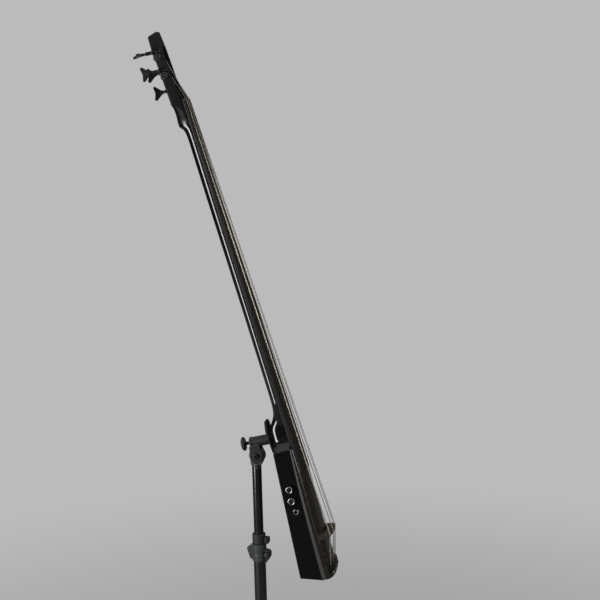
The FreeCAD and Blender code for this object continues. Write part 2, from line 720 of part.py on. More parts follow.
# ------------------------------------------------------------------ bracket at the heel
AXIS_TILT = 4.0
AXIS = V(0, math.cos(math.radians(AXIS_TILT)), math.sin(math.radians(AXIS_TILT)))
AXIS_START = at(0, 815.6, 57.0)         # where the axis leaves the heel
BRACKET_FRAME = Placement(AXIS_START, Rotation(ACROSS, AXIS_TILT))
ROD_RADIUS = size("rod_radius")
BARREL_START, BARREL_END = 7.6, 60.5    # along the axis
SHIELD_THICK = 4.6
EAR_INNER, EAR_OUTER = 7.2, 13.2        # x of the ears' faces
# (x, height across the axis)
SHIELD = [
    (-14.0, 46.0), (14.0, 46.0), (22.0, 38.0), (24.5, 26.0), (22.0, 4.0), (9.0, -27.0),
    (5.0, -36.5), (-5.0, -36.5), (-9.0, -27.0), (-22.0, 4.0), (-24.5, 26.0),
]


def along(distance):
    return AXIS_START + AXIS * distance


def make_insert():
    return fuse([cyl(along(-24.0), AXIS, 7.0, 24.6), cyl(along(0.0), AXIS, 6.4, 7.6)]).cut(
        cyl(along(-21.0), AXIS, ROD_RADIUS + 0.05, 40.0))


def make_stand_head():
    """Shield flange, barrel and two ears round the tilt bolt."""
    shield = prism([BRACKET_FRAME.multVec(V(x, BARREL_START, height)) for x, height in SHIELD],
                   AXIS * SHIELD_THICK)
    corners = [e for e in shield.Edges if abs(e.Length - SHIELD_THICK) < 1e-3]
    shield = round_edges(shield, 3.0, corners)
    radius = size("barrel_radius")
    parts = [
        shield,
        cyl(along(BARREL_START), AXIS, radius, BARREL_END - BARREL_START),
        cyl(along(BARREL_END - 6.0), AXIS, radius + 0.9, 6.0),
    ]
    pivot = LEAN.inverse().multVec(V(0, size("pivot_y") + POLE_Y, size("pivot_height")))
    s, d = -pivot.z, pivot.y
    saddle = [(s - 26.0, d + 10.0), (s - 20.5, d + 10.8), (s - 20.5, d - 14.2),
              (s - 26.0, d - 13.0)]
    parts.append(side_prism(saddle, -EAR_OUTER, 2 * EAR_OUTER))
    angles = [math.radians(a) for a in range(-30, 181, 15)]
    ear = [(s - 24.0, d + 11.0)]
    ear += [(s + 15.8 * math.sin(a), d + 15.8 * math.cos(a)) for a in angles]
    ear += [(s - 8.0, d - 15.9), (s - 24.0, d - 14.0)]
    for x_from in (-EAR_OUTER, EAR_INNER):
        parts.append(side_prism(ear, x_from, EAR_OUTER - EAR_INNER))
    return cut_each(fuse(parts), [
        cyl(at(-EAR_INNER, s, d), ACROSS, 20.4, 2 * EAR_INNER),
        cyl(along(BARREL_START - 1.0), AXIS, ROD_RADIUS + 0.3, BARREL_END),
        cyl(at(-40, s, d), ACROSS, 4.05, 80.0),
    ])


def make_mounting_knob():
    """Turned grip with a long screw, finger scallops cut round its rim."""
    radius, thick = size("grip_radius"), size("grip_thick")
    grip = doc.addObject("PartDesign::Body", "mounting_knob_body")
    turned = turn(grip, "grip", [
        (0.0, -86.0), (ROD_RADIUS, -86.0), (ROD_RADIUS, 0.0), (7.5, 0.0), (8.0, 1.5),
        (radius - 1.4, 1.5), (radius, 3.0), (radius - 0.6, thick - 2.5),
        (radius - 3.0, thick - 0.4), (7.0, thick), (0.0, thick)])
    doc.recompute()
    scallop = sketch(grip, "grip_scallop", "XY_Plane", [circle(radius + 1.6, 2.6)])
    scallop_cut = pocket(grip, "grip_scallop_cut", scallop, turned.Shape.Volume, 1.0,
                         Type=0, Length=14.0, Reversed=True)
    pattern = grip.newObject("PartDesign::PolarPattern", "grip_scallops")
    pattern.Originals = [scallop_cut]
    pattern.Axis = (scallop, ["N_Axis"])
    pattern.Angle = 360.0
    pattern.Occurrences = 10
    grip.Tip = pattern
    register(grip, "mounting_knob",
             LEAN.multiply(Placement(along(73.0), Rotation(UP, AXIS))))


# ------------------------------------------------------------------ bridge, anchor bar, nut
PICKUP_X = (-30.5, 30.5)
PICKUP_DEPTH = 0.6
PICKUP_RADIUS = 4.5


def make_bridge(carved_top, strings):
    foot = size("bridge_half")
    crest = []
    for i in range(13):
        x = -37.5 + 75.0 * i / 12
        crest.append((x, -12.6 + (x / 37.0) ** 2 * 3.2 + 0.2))
    # (x, depth), ending with the open arch between the two feet
    outline = [(-foot - 1.0, 24.0), (-foot, 9.0), (-42.0, -5.5), (-39.5, -8.6)] + crest + [
        (39.5, -8.6), (42.0, -5.5), (foot, 9.0), (foot + 1.0, 24.0),
        (27.0, 24.0), (25.0, 10.2), (14.0, 7.4), (0.0, 6.6), (-14.0, 7.4), (-25.0, 10.2),
        (-27.0, 24.0)]
    bridge = prism([at(x, 1080.0, d) for x, d in outline], V(0, 0, 30.0))
    bridge = bridge.common(side_prism(
        [(1072.5, 26.0), (1059.5, 26.0), (1064.0, -14.0), (1069.6, -14.0)], -60, 120))
    bridge = bridge.cut(carved_top)
    holes = [cyl(at(x, 1040.0, PICKUP_DEPTH), V(0, 0, -1), PICKUP_RADIUS, 60.0)
             for x in PICKUP_X]
    return cut_each(bridge, holes + strings)


def make_pickup(x):
    return cyl(at(x, 1063.6, PICKUP_DEPTH), V(0, 0, -1), PICKUP_RADIUS, 6.2)


def make_anchor_screw(x):
    """Screw, and the room above its head."""
    head = at(x, 1147.0, arch_depth(1147.0, x) - ANCHOR_LIFT + 1.1)
    screw = fuse([cyl(head, BACKWARD, 3.4, 2.2), cyl(head, BACKWARD, 1.9, 22.0)])
    return screw, cyl(head - BACKWARD * 8.0, BACKWARD, 3.4, 8.0)


def make_anchor_bar(carved_top, paths, screws):
    raised = loft([arch_wire(s, ANCHOR_LIFT) for s in (1120.0, 1140.0, 1160.0, 1180.0)])
    bar = raised.common(front_prism([
        (-41.0, ANCHOR_TOP), (41.0, ANCHOR_TOP), (42.5, ANCHOR_BOTTOM),
        (-42.5, ANCHOR_BOTTOM)], 60, -80)).cut(carved_top)
    crest = arch_depth(ANCHOR_STATION, 0.0) - 3.0
    edges = [e for e in bar.Edges if e.BoundBox.XLength > 70 and e.BoundBox.YMin < crest]
    bar = round_edges(bar, 1.6, edges, least_share=0.85)
    for name, (a, b, *_) in paths.items():
        radius = STRINGS[name][3]
        bar = bar.cut(cyl(a, b - a, radius + 0.15, (b - a).Length + 12.0))
    for screw, head_room in screws:
        bar = bar.cut(head_room).cut(screw)
    return max(bar.Solids, key=lambda solid: solid.Volume)


def make_nut(strings):
    nut = loft([board_wire(0.0, 0.9, 2.0), board_wire(0.0, 0.9, -3.0)], ruled=True)
    nut = nut.common(block(-NUT_HALF, NUT_HALF, -3.0, 2.0, -6.0, GLUE_NUT))
    return cut_each(nut, strings)


# ------------------------------------------------------------------ tuners
GEAR_RADIUS, GEAR_ROOT = size("gear_radius"), size("gear_radius") - 0.9
GEAR_TEETH = 18
GEAR_WIDE = 4.2
GEAR_X = HEAD_HALF + 2.2                # inner face of the gear
PLATE_X = HEAD_HALF + 1.9               # outer face of the bracket's plate
WORM_OFFSET, WORM_RADIUS = size("worm_offset"), size("worm_radius")
KEY_TILT = math.radians(size("key_tilt"))
SHAFT = V(0, math.cos(KEY_TILT), math.sin(KEY_TILT))        # out of the back
TIPWARD = V(0, -math.sin(KEY_TILT), math.cos(KEY_TILT))     # square to it, towards the tip
KEY_HALF = size("key_blade") / 2
KEY_THICK = 4.6
# one half of the key's blade: along the shaft, half width
KEY_EDGE = [
    (30.6, 3.4), (34.5, 4.4), (39.5, KEY_HALF - 8.5), (44.5, KEY_HALF - 3.9),
    (48.8, KEY_HALF - 0.3), (51.6, KEY_HALF), (53.0, KEY_HALF - 1.6), (53.1, KEY_HALF - 4.6),
    (51.6, 6.0),
]
KEY_OUTLINE = [(u, -n) for u, n in KEY_EDGE] + [(50.8, 0.0)] + KEY_EDGE[::-1]


def make_post(centre, side):
    """Post across the head with its gear and slotted cap screw."""
    outward = V(side, 0, 0)

    def beside(x):
        return centre + outward * x

    ring = []
    for k in range(GEAR_TEETH):
        for share, radius in ((0.0, GEAR_ROOT), (0.22, GEAR_RADIUS), (0.5, GEAR_RADIUS),
                              (0.72, GEAR_ROOT)):
            angle = (k + share) * 2 * math.pi / GEAR_TEETH
            ring.append((centre.y + radius * math.cos(angle),
                         centre.z + radius * math.sin(angle)))
    post = fuse([
        cyl(beside(2.3 - HEAD_HALF), outward, POST_RADIUS, 2 * HEAD_HALF),
        cyl(beside(GEAR_X), outward, GEAR_ROOT, GEAR_WIDE),
        cyl(beside(HEAD_HALF + 6.2), outward, 4.2, 1.4),
    ])
    post = fuse([post, yz_prism(ring, side * GEAR_X, side * GEAR_WIDE)])
    return post.cut(cyl(beside(HEAD_HALF + 6.6) + V(0, -6, 0), BACKWARD, 0.6, 12.0))


def make_tuner(station, depth, side, key_turn):
    """Post, key, bracket and screws of one string, and the post's hole in the head."""
    centre = at(0, station, depth)
    outward = V(side, 0, 0)
    # the worm is tipward of the post on the low side, nutward on the high side
    across_worm = TIPWARD * -side
    worm_centre = centre + across_worm * WORM_OFFSET + outward * (HEAD_HALF + 4.3)

    def worm_point(u, n, x=0.0):
        return worm_centre + SHAFT * u + across_worm * n + V(x, 0, 0)

    def plate(u0, u1, n0, n1, thick):
        corners = [worm_point(u, n) for u, n in ((u0, n0), (u1, n0), (u1, n1), (u0, n1))]
        return yz_prism([(p.y, p.z) for p in corners], side * HEAD_HALF, side * thick)

    screws = []
    for u in (-6.0, 9.4):
        place = worm_point(u, -WORM_OFFSET - 5.6)
        screws.append(cyl(V(side * PLATE_X, place.y, place.z), V(-side, 0, 0), 1.1, 8.4))

    # plate on the cheek, front lug, rear lug and bearing sleeve
    bracket = fuse([
        plate(-9.0, 12.0, -WORM_OFFSET - 8.5, 5.0, PLATE_X - HEAD_HALF),
        plate(-10.5, -7.5, -4.6, 5.0, 8.6),
        plate(8.4, 12.0, -4.6, 5.0, 8.6),
        cyl(worm_point(8.4, 0.0), SHAFT, 4.2, 19.6),
    ])
    bracket = cut_each(bracket, [
        cyl(worm_point(-20.0, 0.0), SHAFT, 2.25, 80.0),
        cyl(centre, outward, POST_RADIUS + 0.2, 60.0),
        cyl(centre + outward * (PLATE_X + 0.05), outward, GEAR_RADIUS + 0.3, 12.0),
        cyl(worm_point(-7.3, 0.0), SHAFT, WORM_RADIUS + 0.1, 15.6),
    ] + screws)

    shaft = fuse([
        cyl(worm_point(-11.0, 0.0), SHAFT, 2.2, 46.0),
        cyl(worm_point(-7.0, 0.0), SHAFT, WORM_RADIUS, 15.0),
        cyl(worm_point(30.2, 0.0), SHAFT, 3.3, 8.0),
    ])
    blade = prism([worm_point(u, n * 1.0, -KEY_THICK / 2) for u, n in KEY_OUTLINE],
                  V(KEY_THICK, 0, 0))
    blade.rotate(worm_centre, SHAFT, key_turn)
    return {
        "post": make_post(centre, side),
        "key": fuse([shaft, blade]),
        "bracket": bracket,
        "screws": screws,
        "post_hole": cyl(centre + outward * (2.0 - HEAD_HALF), outward, POST_RADIUS + 0.05,
                         2 * HEAD_HALF),
    }


# ------------------------------------------------------------------ instrument, put together
built_strings = {name: make_string(name) for name in STRINGS}
string_shapes = [shape for shape, _ in built_strings.values()]
string_paths = {name: path for name, (_, path) in built_strings.items()}
bolts = [make_neck_bolt(*place) for place in NECK_BOLTS]
neck_bolts = [bolt for bolt, _ in bolts]
bolt_holes = [hole for _, holes in bolts for hole in holes]
anchor_screws = [make_anchor_screw(x) for x in (-22.6, 22.6)]
anchor_shapes = [screw for screw, _ in anchor_screws]
cover_screws = [make_cover_screw(*place) for place in COVER_SCREWS]
tuners = {key: make_tuner(*row) for key, row in TUNERS.items()}

neck = cut_each(make_neck(), neck_bolts + [cyl(along(-24.0), AXIS, 7.0, 34.0)])
insert = make_insert().cut(neck)
for tuner in tuners.values():
    neck = cut_each(neck, [tuner["post_hole"]] + tuner["screws"])

# the bridge and the anchor bar are fitted to the top before it is drilled
carved_top = make_carved_top()
bridge = make_bridge(carved_top, string_shapes)
anchor_bar = make_anchor_bar(carved_top, string_paths, anchor_screws)
carved_top = cut_each(carved_top, anchor_shapes + [lead_hole])
core = cut_each(make_core_blank(), [cavity] + control_holes + bolt_holes + anchor_shapes
                + cover_screws + [lead_hole])

instrument = {
    "neck_and_head": neck,
    "truss_rod": truss_rod,
    "fingerboard": make_fingerboard(),
    "nut": make_nut(string_shapes),
    "carved_top": carved_top,
    "body_core": core,
    "back_cover": cut_each(cover, cover_screws),
    "cover_screws": Part.makeCompound(cover_screws),
    "neck_bolts": Part.makeCompound(neck_bolts),
    "stand_insert": insert,
    "stand_head": make_stand_head(),
    "bridge": bridge,
    "bridge_pickups": Part.makeCompound([make_pickup(x) for x in PICKUP_X]),
    "anchor_bar": anchor_bar,
    "anchor_screws": Part.makeCompound(anchor_shapes),
}
instrument.update(zip(STRINGS, string_shapes))
instrument.update({
    "control_pots": Part.makeCompound([make_pot(*place) for place in KNOBS.values()]),
    "output_jack": make_jack(),
    "preamp_board": fuse([back_box(*row) for row in PREAMP]),
    "battery": fuse([back_box(*row) for row in BATTERY]),
    "wiring": Part.makeCompound([make_wire(*run) for run in WIRE_RUNS]),
    "tuner_brackets": Part.makeCompound([tuner["bracket"] for tuner in tuners.values()]),
    "tuner_screws": Part.makeCompound(
        [screw for tuner in tuners.values() for screw in tuner["screws"]]),
})
for key, tuner in tuners.items():
    instrument["post_" + key] = tuner["post"]
    instrument["tuner_key_" + key] = tuner["key"]
for name, shape in instrument.items():
    feature(name, shape, LEAN)
for name, (station, depth) in KNOBS.items():
    make_control_knob(name, station, depth)
make_mounting_knob()

# ------------------------------------------------------------------ telescopic pole
UPPER_RADIUS, UPPER_TOP = size("upper_tube_radius"), size("upper_tube_top")
LOWER_RADIUS, LOWER_TOP = size("lower_tube_radius"), size("lower_tube_top")
PIVOT_Y, PIVOT_Z = size("pivot_y"), size("pivot_height")
CROSS_Y, CROSS_Z = -6.0, UPPER_TOP - 5.5    # screw that keeps the tongue in the tube
CROSS_RADIUS = 2.0
COLLAR_SCREW = (-20.8, 636.0)               # (y, z)
CLAMP_SCREW = (-23.0, 602.0)


def make_tube(name):
    """Round tube as two bound cylinders and a cut."""
    cylinders = []
    for suffix, wall in (("_outside", ""), ("_inside", " - Dimensions.%s_wall" % name)):
        part = doc.addObject("Part::Cylinder", name + suffix)
        part.setExpression("Radius", "Dimensions.%s_radius%s" % (name, wall))
        part.setExpression("Height", "Dimensions.%s_top - Dimensions.%s_end" % (name, name))
        cylinders.append(part)
    tube = doc.addObject("Part::Cut", name + "_cut")
    tube.Base, tube.Tool = cylinders
    tube.Placement = Placement(V(0, POLE_Y, size(name + "_end")), Rotation())
    return tube


def make_upper_tube():
    """Upper tube, drilled for the cross screw."""
    plain = make_tube("upper_tube")
    plain.Label = "upper_tube_plain"
    drill = doc.addObject("Part::Cylinder", "cross_hole")
    drill.Radius = CROSS_RADIUS
    drill.Height = 60.0
    drill.Placement = Placement(V(-30, CROSS_Y + POLE_Y, CROSS_Z), Rotation(BACKWARD, 90))
    drilled = doc.addObject("Part::Cut", "upper_tube_drilled")
    drilled.Base = plain
    drilled.Tool = drill
    register(drilled, "upper_tube")


def make_tongue():
    """Tongue between the bracket's ears, with a plug in the upper tube."""
    angles = [math.radians(a) for a in range(-32, 213, 12)]
    outline = [(11.4, UPPER_TOP + 0.1), (13.2, UPPER_TOP + 3.0)]
    outline += [(PIVOT_Y + 19.4 * math.cos(a), PIVOT_Z + 19.4 * math.sin(a)) for a in angles]
    outline += [(-13.6, UPPER_TOP + 3.0), (-11.4, UPPER_TOP + 0.1)]
    tongue = fuse([
        yz_prism(outline, -7.0, 14.0),
        pole_cyl(UPPER_RADIUS + 0.2, UPPER_TOP, UPPER_TOP + 6.0),
        pole_cyl(UPPER_RADIUS - size("upper_tube_wall"), UPPER_TOP - 34.0, UPPER_TOP + 2.0),
    ])
    # after the bolt hole, the flanks beside the ears are kept clear
    return cut_each(tongue, [
        cyl(V(-30, PIVOT_Y, PIVOT_Z), ACROSS, 4.0, 60.0),
        cyl(V(-30.0, PIVOT_Y, PIVOT_Z), ACROSS, 16.6, 23.0),
        cyl(V(7.0, PIVOT_Y, PIVOT_Z), ACROSS, 16.6, 23.0),
        cyl(V(-30, CROSS_Y, CROSS_Z), ACROSS, CROSS_RADIUS, 60.0),
    ])


def make_cross_screw():
    return fuse([
        cyl(V(-11.6, CROSS_Y, CROSS_Z), ACROSS, CROSS_RADIUS, 21.6),
        cyl(V(-15.4, CROSS_Y, CROSS_Z), ACROSS, 6.4, 3.9),
    ])


def make_tilt_bolt():
    """Bolt with a round socket head on the -X side and a hexagon nut on the other."""
    return fuse([
        cyl(V(-17.4, PIVOT_Y, PIVOT_Z), ACROSS, 4.0, 36.6),
        cyl(V(-17.6, PIVOT_Y, PIVOT_Z), ACROSS, 6.6, 4.2),
        yz_prism(hexagon(PIVOT_Y, PIVOT_Z, 7.2), 13.4, 5.0),
    ]).cut(yz_prism(hexagon(PIVOT_Y, PIVOT_Z, 3.2), -18.0, 3.0))


def make_stop_collar():
    """Split ring with two lugs at the front."""
    bottom, top = size("collar_bottom"), size("collar_top")
    collar = fuse([
        pole_cyl(size("collar_radius"), bottom, top),
        Part.makeBox(14.0, 12.0, 15.0, V(-7.0, -26.0, 628.6)),
    ])
    rims = [e for e in collar.Edges
            if abs(e.BoundBox.ZLength) < 1e-6 and e.BoundBox.XLength > 25]
    return cut_each(round_edges(collar, 1.5, rims), [
        pole_cyl(UPPER_RADIUS, bottom - 1, top + 1),
        Part.makeBox(1.6, 20.0, 40.0, V(-0.8, -30.0, bottom - 1)),
        cyl(V(-20, *COLLAR_SCREW), ACROSS, 2.55, 40.0),
    ])


def make_height_clamp():
    """Sleeve on the lower tube with a fin at the back and split lugs at the front."""
    bottom, top = size("clamp_bottom"), size("clamp_top")
    fin = [(12.0, 625.5), (17.5, 625.5), (30.6, 615.0), (23.2, 590.0), (16.0, 585.5),
           (12.0, 586.0)]
    lugs = [(-12.0, 613.0), (-26.0, 610.0), (-29.0, 604.0), (-28.0, 594.0), (-17.5, 579.0),
            (-12.0, 579.0)]
    clamp = fuse([
        pole_cyl(size("clamp_radius"), bottom, top),
        yz_prism(fin, -4.5, 9.0),
        yz_prism(lugs, -8.5, 17.0),
    ])
    fin_edges = [e for e in clamp.Edges
                 if e.BoundBox.XLength < 1e-6 and e.BoundBox.YMin > 18.0]
    return cut_each(round_edges(clamp, 1.2, fin_edges), [
        pole_cyl(LOWER_RADIUS, bottom - 8, LOWER_TOP),
        pole_cyl(UPPER_RADIUS + 0.5, bottom - 1, top + 1),
        Part.makeBox(1.8, 30.0, 60.0, V(-0.9, -40.0, bottom - 8)),
        cyl(V(-20, *CLAMP_SCREW), ACROSS, 3.05, 40.0),
    ])


def make_bushing():
    """Sleeve between the two tubes."""
    return pole_cyl(LOWER_RADIUS - size("lower_tube_wall"), LOWER_TOP - 44.0, LOWER_TOP).cut(
        pole_cyl(UPPER_RADIUS + 0.05, LOWER_TOP - 50.0, LOWER_TOP + 10.0))


def make_lobed_knob(place, face_x, screw_radius, screw_length, radius, thick, lobes):
    """Grip with rounded lobes; its screw runs across the lugs along +X."""
    y, z = place
    points = []
    for k in range(lobes * 6):
        angle = 2 * math.pi * k / (lobes * 6)
        reach = radius - 0.09 * radius * (1 - math.cos(lobes * angle))
        points.append(V(face_x - thick, y + reach * math.cos(angle),
                        z + reach * math.sin(angle)))
    outline = Part.Wire([bspline(points, closed=True)])
    return fuse([
        Part.Face(outline).extrude(V(thick, 0, 0)),
        cyl(V(face_x - 0.2, y, z), ACROSS, radius * 0.55, 1.6),
        cyl(V(face_x, y, z), ACROSS, screw_radius, screw_length),
        cyl(V(face_x - thick - 1.6, y, z), ACROSS, radius * 0.6, 2.0),
    ])


# ------------------------------------------------------------------ tripod
PIN_POSITION, PIN_HEIGHT = size("leg_pin_radius_pos"), size("leg_pin_height")
PIN_RADIUS = size("leg_pin")
LEG_WIDE, LEG_DEEP, LEG_WALL = size("leg_wide"), size("leg_deep"), size("leg_wall")
LEG_END_HEIGHT = 16.0
LEG_DROP = PIN_HEIGHT - LEG_END_HEIGHT
LEG_RUN = size("leg_reach") - PIN_POSITION
LEG_LENGTH = math.hypot(LEG_DROP, LEG_RUN)
LEG_SLOPE = math.degrees(math.atan2(LEG_DROP, LEG_RUN))
# from the pin, with X down along the leg
LEG_FRAME = Placement(V(PIN_POSITION, 0, PIN_HEIGHT), Rotation(BACKWARD, LEG_SLOPE))
EAR_FACE = LEG_WIDE / 2 + 0.3           # inner face of the clevis ears
EAR_THICK = 5.0
EAR_RADIUS = 17.0
LEG_TURNS = {name: Placement(V(0, 0, 0), Rotation(UP, angle))
             for name, angle in (("front", -90.0), ("left", 150.0), ("right", 30.0))}


def pin_cyl(radius, y_from, length):
    """Cylinder on the pin axis of a leg that points along +X."""
    return cyl(V(PIN_POSITION, y_from, PIN_HEIGHT), BACKWARD, radius, length)


def centred_box(x_from, length, wide, deep):
    """Box along X, centred on that axis."""
    return Part.makeBox(length, wide, deep, V(x_from, -wide / 2, -deep / 2))


def make_hub():
    """Sleeve on the tube with three clevises."""
    parts = [pole_cyl(23.0, 92.0, 176.0), pole_cyl(19.0, 88.0, 94.0)]
    for leg_turn in LEG_TURNS.values():
        for y_from in (-EAR_FACE - EAR_THICK, EAR_FACE):
            ear = fuse([
                Part.makeBox(PIN_POSITION - 16.0, EAR_THICK, 2 * EAR_RADIUS,
                             V(16.0, y_from, PIN_HEIGHT - EAR_RADIUS)),
                pin_cyl(EAR_RADIUS, y_from, EAR_THICK),
            ])
            parts.append(moved(ear, leg_turn))
    hub = fuse(parts)
    for leg_turn in LEG_TURNS.values():
        gap = Part.makeBox(40.0, 2 * EAR_FACE, 60.0, V(24.0, -EAR_FACE, PIN_HEIGHT - 30.0))
        hub = hub.cut(moved(pin_cyl(PIN_RADIUS, -30.0, 60.0), leg_turn))
        hub = hub.cut(moved(gap, leg_turn))
    # a web across each clevis: the spread leg bears up against it, and can only fold down
    webs = []
    for leg_turn in LEG_TURNS.values():
        width = LEG_WIDE + 1.6
        web = cyl(V(0, -width / 2, 0), BACKWARD, EAR_RADIUS, width)
        web = web.common(Part.makeBox(40.0, LEG_WIDE + 4.0, 10.0,
                                      V(-20.0, -(LEG_WIDE + 4.0) / 2, LEG_DEEP / 2 + 0.1)))
        webs.append(moved(web, leg_turn.multiply(LEG_FRAME)))
    tube_end = size("lower_tube_end")
    return fuse([hub] + webs).cut(pole_cyl(LOWER_RADIUS, tube_end, tube_end + 120.0))


def make_leg_pin(leg_turn):
    outer = EAR_FACE + EAR_THICK
    return moved(fuse([
        pin_cyl(PIN_RADIUS, -outer - 0.4, 2 * outer + 5.0),
        pin_cyl(7.0, -outer - 4.0, 4.0),
        pin_cyl(6.6, outer, 4.6),
    ]), leg_turn)


def make_leg(name, leg_turn):
    """Rectangular tube along its own X axis, pin hole at the origin."""
    prefix = "leg_" + name
    half = LEG_DEEP / 2
    body = doc.addObject("PartDesign::Body", prefix + "_body")
    pad = body.newObject("PartDesign::Pad", prefix + "_pad") if False else None
    side = sketch(body, prefix + "_side", "XZ_Plane", [
        Part.LineSegment(V(0, half, 0), V(LEG_LENGTH, half, 0)),
        Part.LineSegment(V(LEG_LENGTH, half, 0), V(LEG_LENGTH, -half, 0)),
        Part.LineSegment(V(LEG_LENGTH, -half, 0), V(0, -half, 0)),
        Part.Arc(V(0, -half, 0), V(-half, 0, 0), V(0, half, 0)),
    ])
    pad = body.newObject("PartDesign::Pad", prefix + "_pad")
    pad.Profile = side
    pad.setExpression("Length", "Dimensions.leg_wide")
    pad.Midplane = True
    doc.recompute()
    volume = pad.Shape.Volume
    y, z = LEG_WIDE / 2 - LEG_WALL, half - LEG_WALL
    hollow = sketch(body, prefix + "_hollow", "YZ_Plane",
                    closed_lines([(-y, -z), (y, -z), (y, z), (-y, z)]), offset=14.0)
    bore = pocket(body, prefix + "_bore", hollow, volume, 0.3 * volume,
                  Type=0, Length=600.0, Reversed=True)
    pin_hole = sketch(body, prefix + "_pin_hole", "XZ_Plane", [circle(0, size("leg_bore"))])
    body.Tip = pocket(body, prefix + "_hole", pin_hole, bore.Shape.Volume, 10.0,
                      Type=1, Midplane=True)
    register(body, prefix, POLE.multiply(leg_turn).multiply(LEG_FRAME))


def make_foot():
    """Rubber boot on the leg's end with a flat sole on the floor, for a leg along +X."""
    boot = centred_box(LEG_LENGTH - 34.0, 40.0, LEG_WIDE + 5.0, LEG_DEEP + 5.0)
    boot = round_edges(boot, 2.2, boot.Edges)
    boot = boot.cut(centred_box(LEG_LENGTH - 36.0, 36.0, LEG_WIDE, LEG_DEEP))
    boot = moved(boot, LEG_FRAME)
    sole = cyl(V(size("leg_reach") - 4.0, 0, 0.0), UP, 15.0, 12.0)
    leg_room = moved(centred_box(0, LEG_LENGTH, LEG_WIDE, LEG_DEEP), LEG_FRAME)
    below_floor = Part.makeBox(800, 100, 60, V(0, -50, -60))
    return fuse([boot.cut(below_floor), sole.cut(leg_room)])


# ------------------------------------------------------------------ stand, put together
make_upper_tube()
register(make_tube("lower_tube"), "lower_tube")
stand = {
    "tube_tongue": make_tongue(),
    "cross_screw": make_cross_screw(),
    "tilt_bolt": make_tilt_bolt(),
    "stop_collar": make_stop_collar(),
    "height_clamp": make_height_clamp(),
    "tube_bushing": make_bushing(),
    "collar_knob": make_lobed_knob(COLLAR_SCREW, face_x=-8.6, screw_radius=2.5,
                                   screw_length=17.0, radius=6.6, thick=7.0, lobes=5),
    "height_knob": make_lobed_knob(CLAMP_SCREW, face_x=-10.2, screw_radius=3.0,
                                   screw_length=20.0, radius=9.0, thick=10.0, lobes=6),
    "tripod_hub": make_hub(),
    "leg_pins": Part.makeCompound([make_leg_pin(t) for t in LEG_TURNS.values()]),
}
for name, shape in stand.items():
    feature(name, shape, POLE)
for name, leg_turn in LEG_TURNS.items():
    make_leg(name, leg_turn)
    feature("foot_" + name, make_foot(), POLE.multiply(leg_turn))

doc.recompute()

# ------------------------------------------------------------------ checks and STEP files
problems = []
for obj in doc.Objects:
    if "Invalid" in obj.State or "Error" in obj.State:
        problems.append("%s is %s" % (obj.Label, obj.State))
seen = set()
for obj in NODES:
    shape = obj.Shape
    if shape.isNull() or not shape.isValid() or not shape.Solids:
        problems.append("%s has no valid solid" % obj.Label)
    elif any(solid.Volume <= 0 for solid in shape.Solids):
        problems.append("%s has an inside-out solid" % obj.Label)
    if obj.Label in seen:
        problems.append("%s is named twice" % obj.Label)
    seen.add(obj.Label)
if problems:
    raise RuntimeError("; ".join(problems))
os.makedirs("parts", exist_ok=True)
for obj in NODES:
    obj.Shape.exportStep("parts/%s.step" % obj.Label)
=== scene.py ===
import json
import math

import bmesh
import bpy
import numpy as np
from mathutils import Matrix, Vector


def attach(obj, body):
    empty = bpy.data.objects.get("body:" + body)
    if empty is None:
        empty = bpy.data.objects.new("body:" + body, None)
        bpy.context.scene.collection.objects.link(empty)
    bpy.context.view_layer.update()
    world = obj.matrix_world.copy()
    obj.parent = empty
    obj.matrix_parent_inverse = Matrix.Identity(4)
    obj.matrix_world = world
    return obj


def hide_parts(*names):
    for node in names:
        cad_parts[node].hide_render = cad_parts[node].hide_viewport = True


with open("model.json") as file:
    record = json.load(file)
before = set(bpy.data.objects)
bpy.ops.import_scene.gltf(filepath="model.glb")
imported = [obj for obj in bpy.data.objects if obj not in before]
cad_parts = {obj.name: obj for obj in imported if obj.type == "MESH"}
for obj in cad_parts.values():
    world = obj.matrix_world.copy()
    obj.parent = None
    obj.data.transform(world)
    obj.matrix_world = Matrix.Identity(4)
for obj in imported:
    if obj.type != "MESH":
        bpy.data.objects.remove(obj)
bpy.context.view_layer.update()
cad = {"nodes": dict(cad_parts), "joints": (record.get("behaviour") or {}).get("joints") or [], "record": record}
RECORD = cad["record"]
JOINTS = {joint["name"]: joint for joint in cad["joints"]}
SLOT_OF = {part["node"]: part["material_slot"] for part in RECORD["subparts"]}
BODY_OF = {node: body for body, nodes in RECORD["behaviour"]["bodies"].items() for node in nodes}

# ------------------------------------------------------------------ frames
PIVOT_FORWARD = 2.8                     # tilt pivot in front of the pole axis
POLE_Y = JOINTS["head_tilt"]["pos_m"][1] * 1000.0 + PIVOT_FORWARD
LEAN = math.radians(16.65)
NUT = np.array([0.0, POLE_Y + 133.4, 1687.6])
ACROSS = np.array([1.0, 0.0, 0.0])
DEEP = np.array([0.0, math.cos(LEAN), -math.sin(LEAN)])     # from the strings to the back
ALONG = np.array([0.0, math.sin(LEAN), math.cos(LEAN)])     # along the strings to the head
WORLD_Y = np.array([0.0, 1.0, 0.0])
WORLD_Z = np.array([0.0, 0.0, 1.0])


def on_lean(x, down, deep):
    """Across, distance below the nut, depth behind the fingerboard crown."""
    return NUT + ACROSS * x - ALONG * down + DEEP * deep


def on_pole(x, y, z):
    """A point measured from the foot of the pole axis."""
    return np.array([x, POLE_Y + y, z], float)


def basis(origin, axis_x, axis_y, axis_z):
    """4x4 matrix of a local frame."""
    m = Matrix.Identity(4)
    for column, vector in enumerate((axis_x, axis_y, axis_z, origin)):
        for row in range(3):
            m[row][column] = float(vector[row])
    return m


def axis_frame(origin, axis, hint=(1.0, 0.0, 0.0)):
    """Frame with local Z along axis and local X as near hint as it can be."""
    z = Vector(axis).normalized()
    x = Vector(hint) - z * Vector(hint).dot(z)
    x.normalize()
    return basis(origin, x, z.cross(x), z)


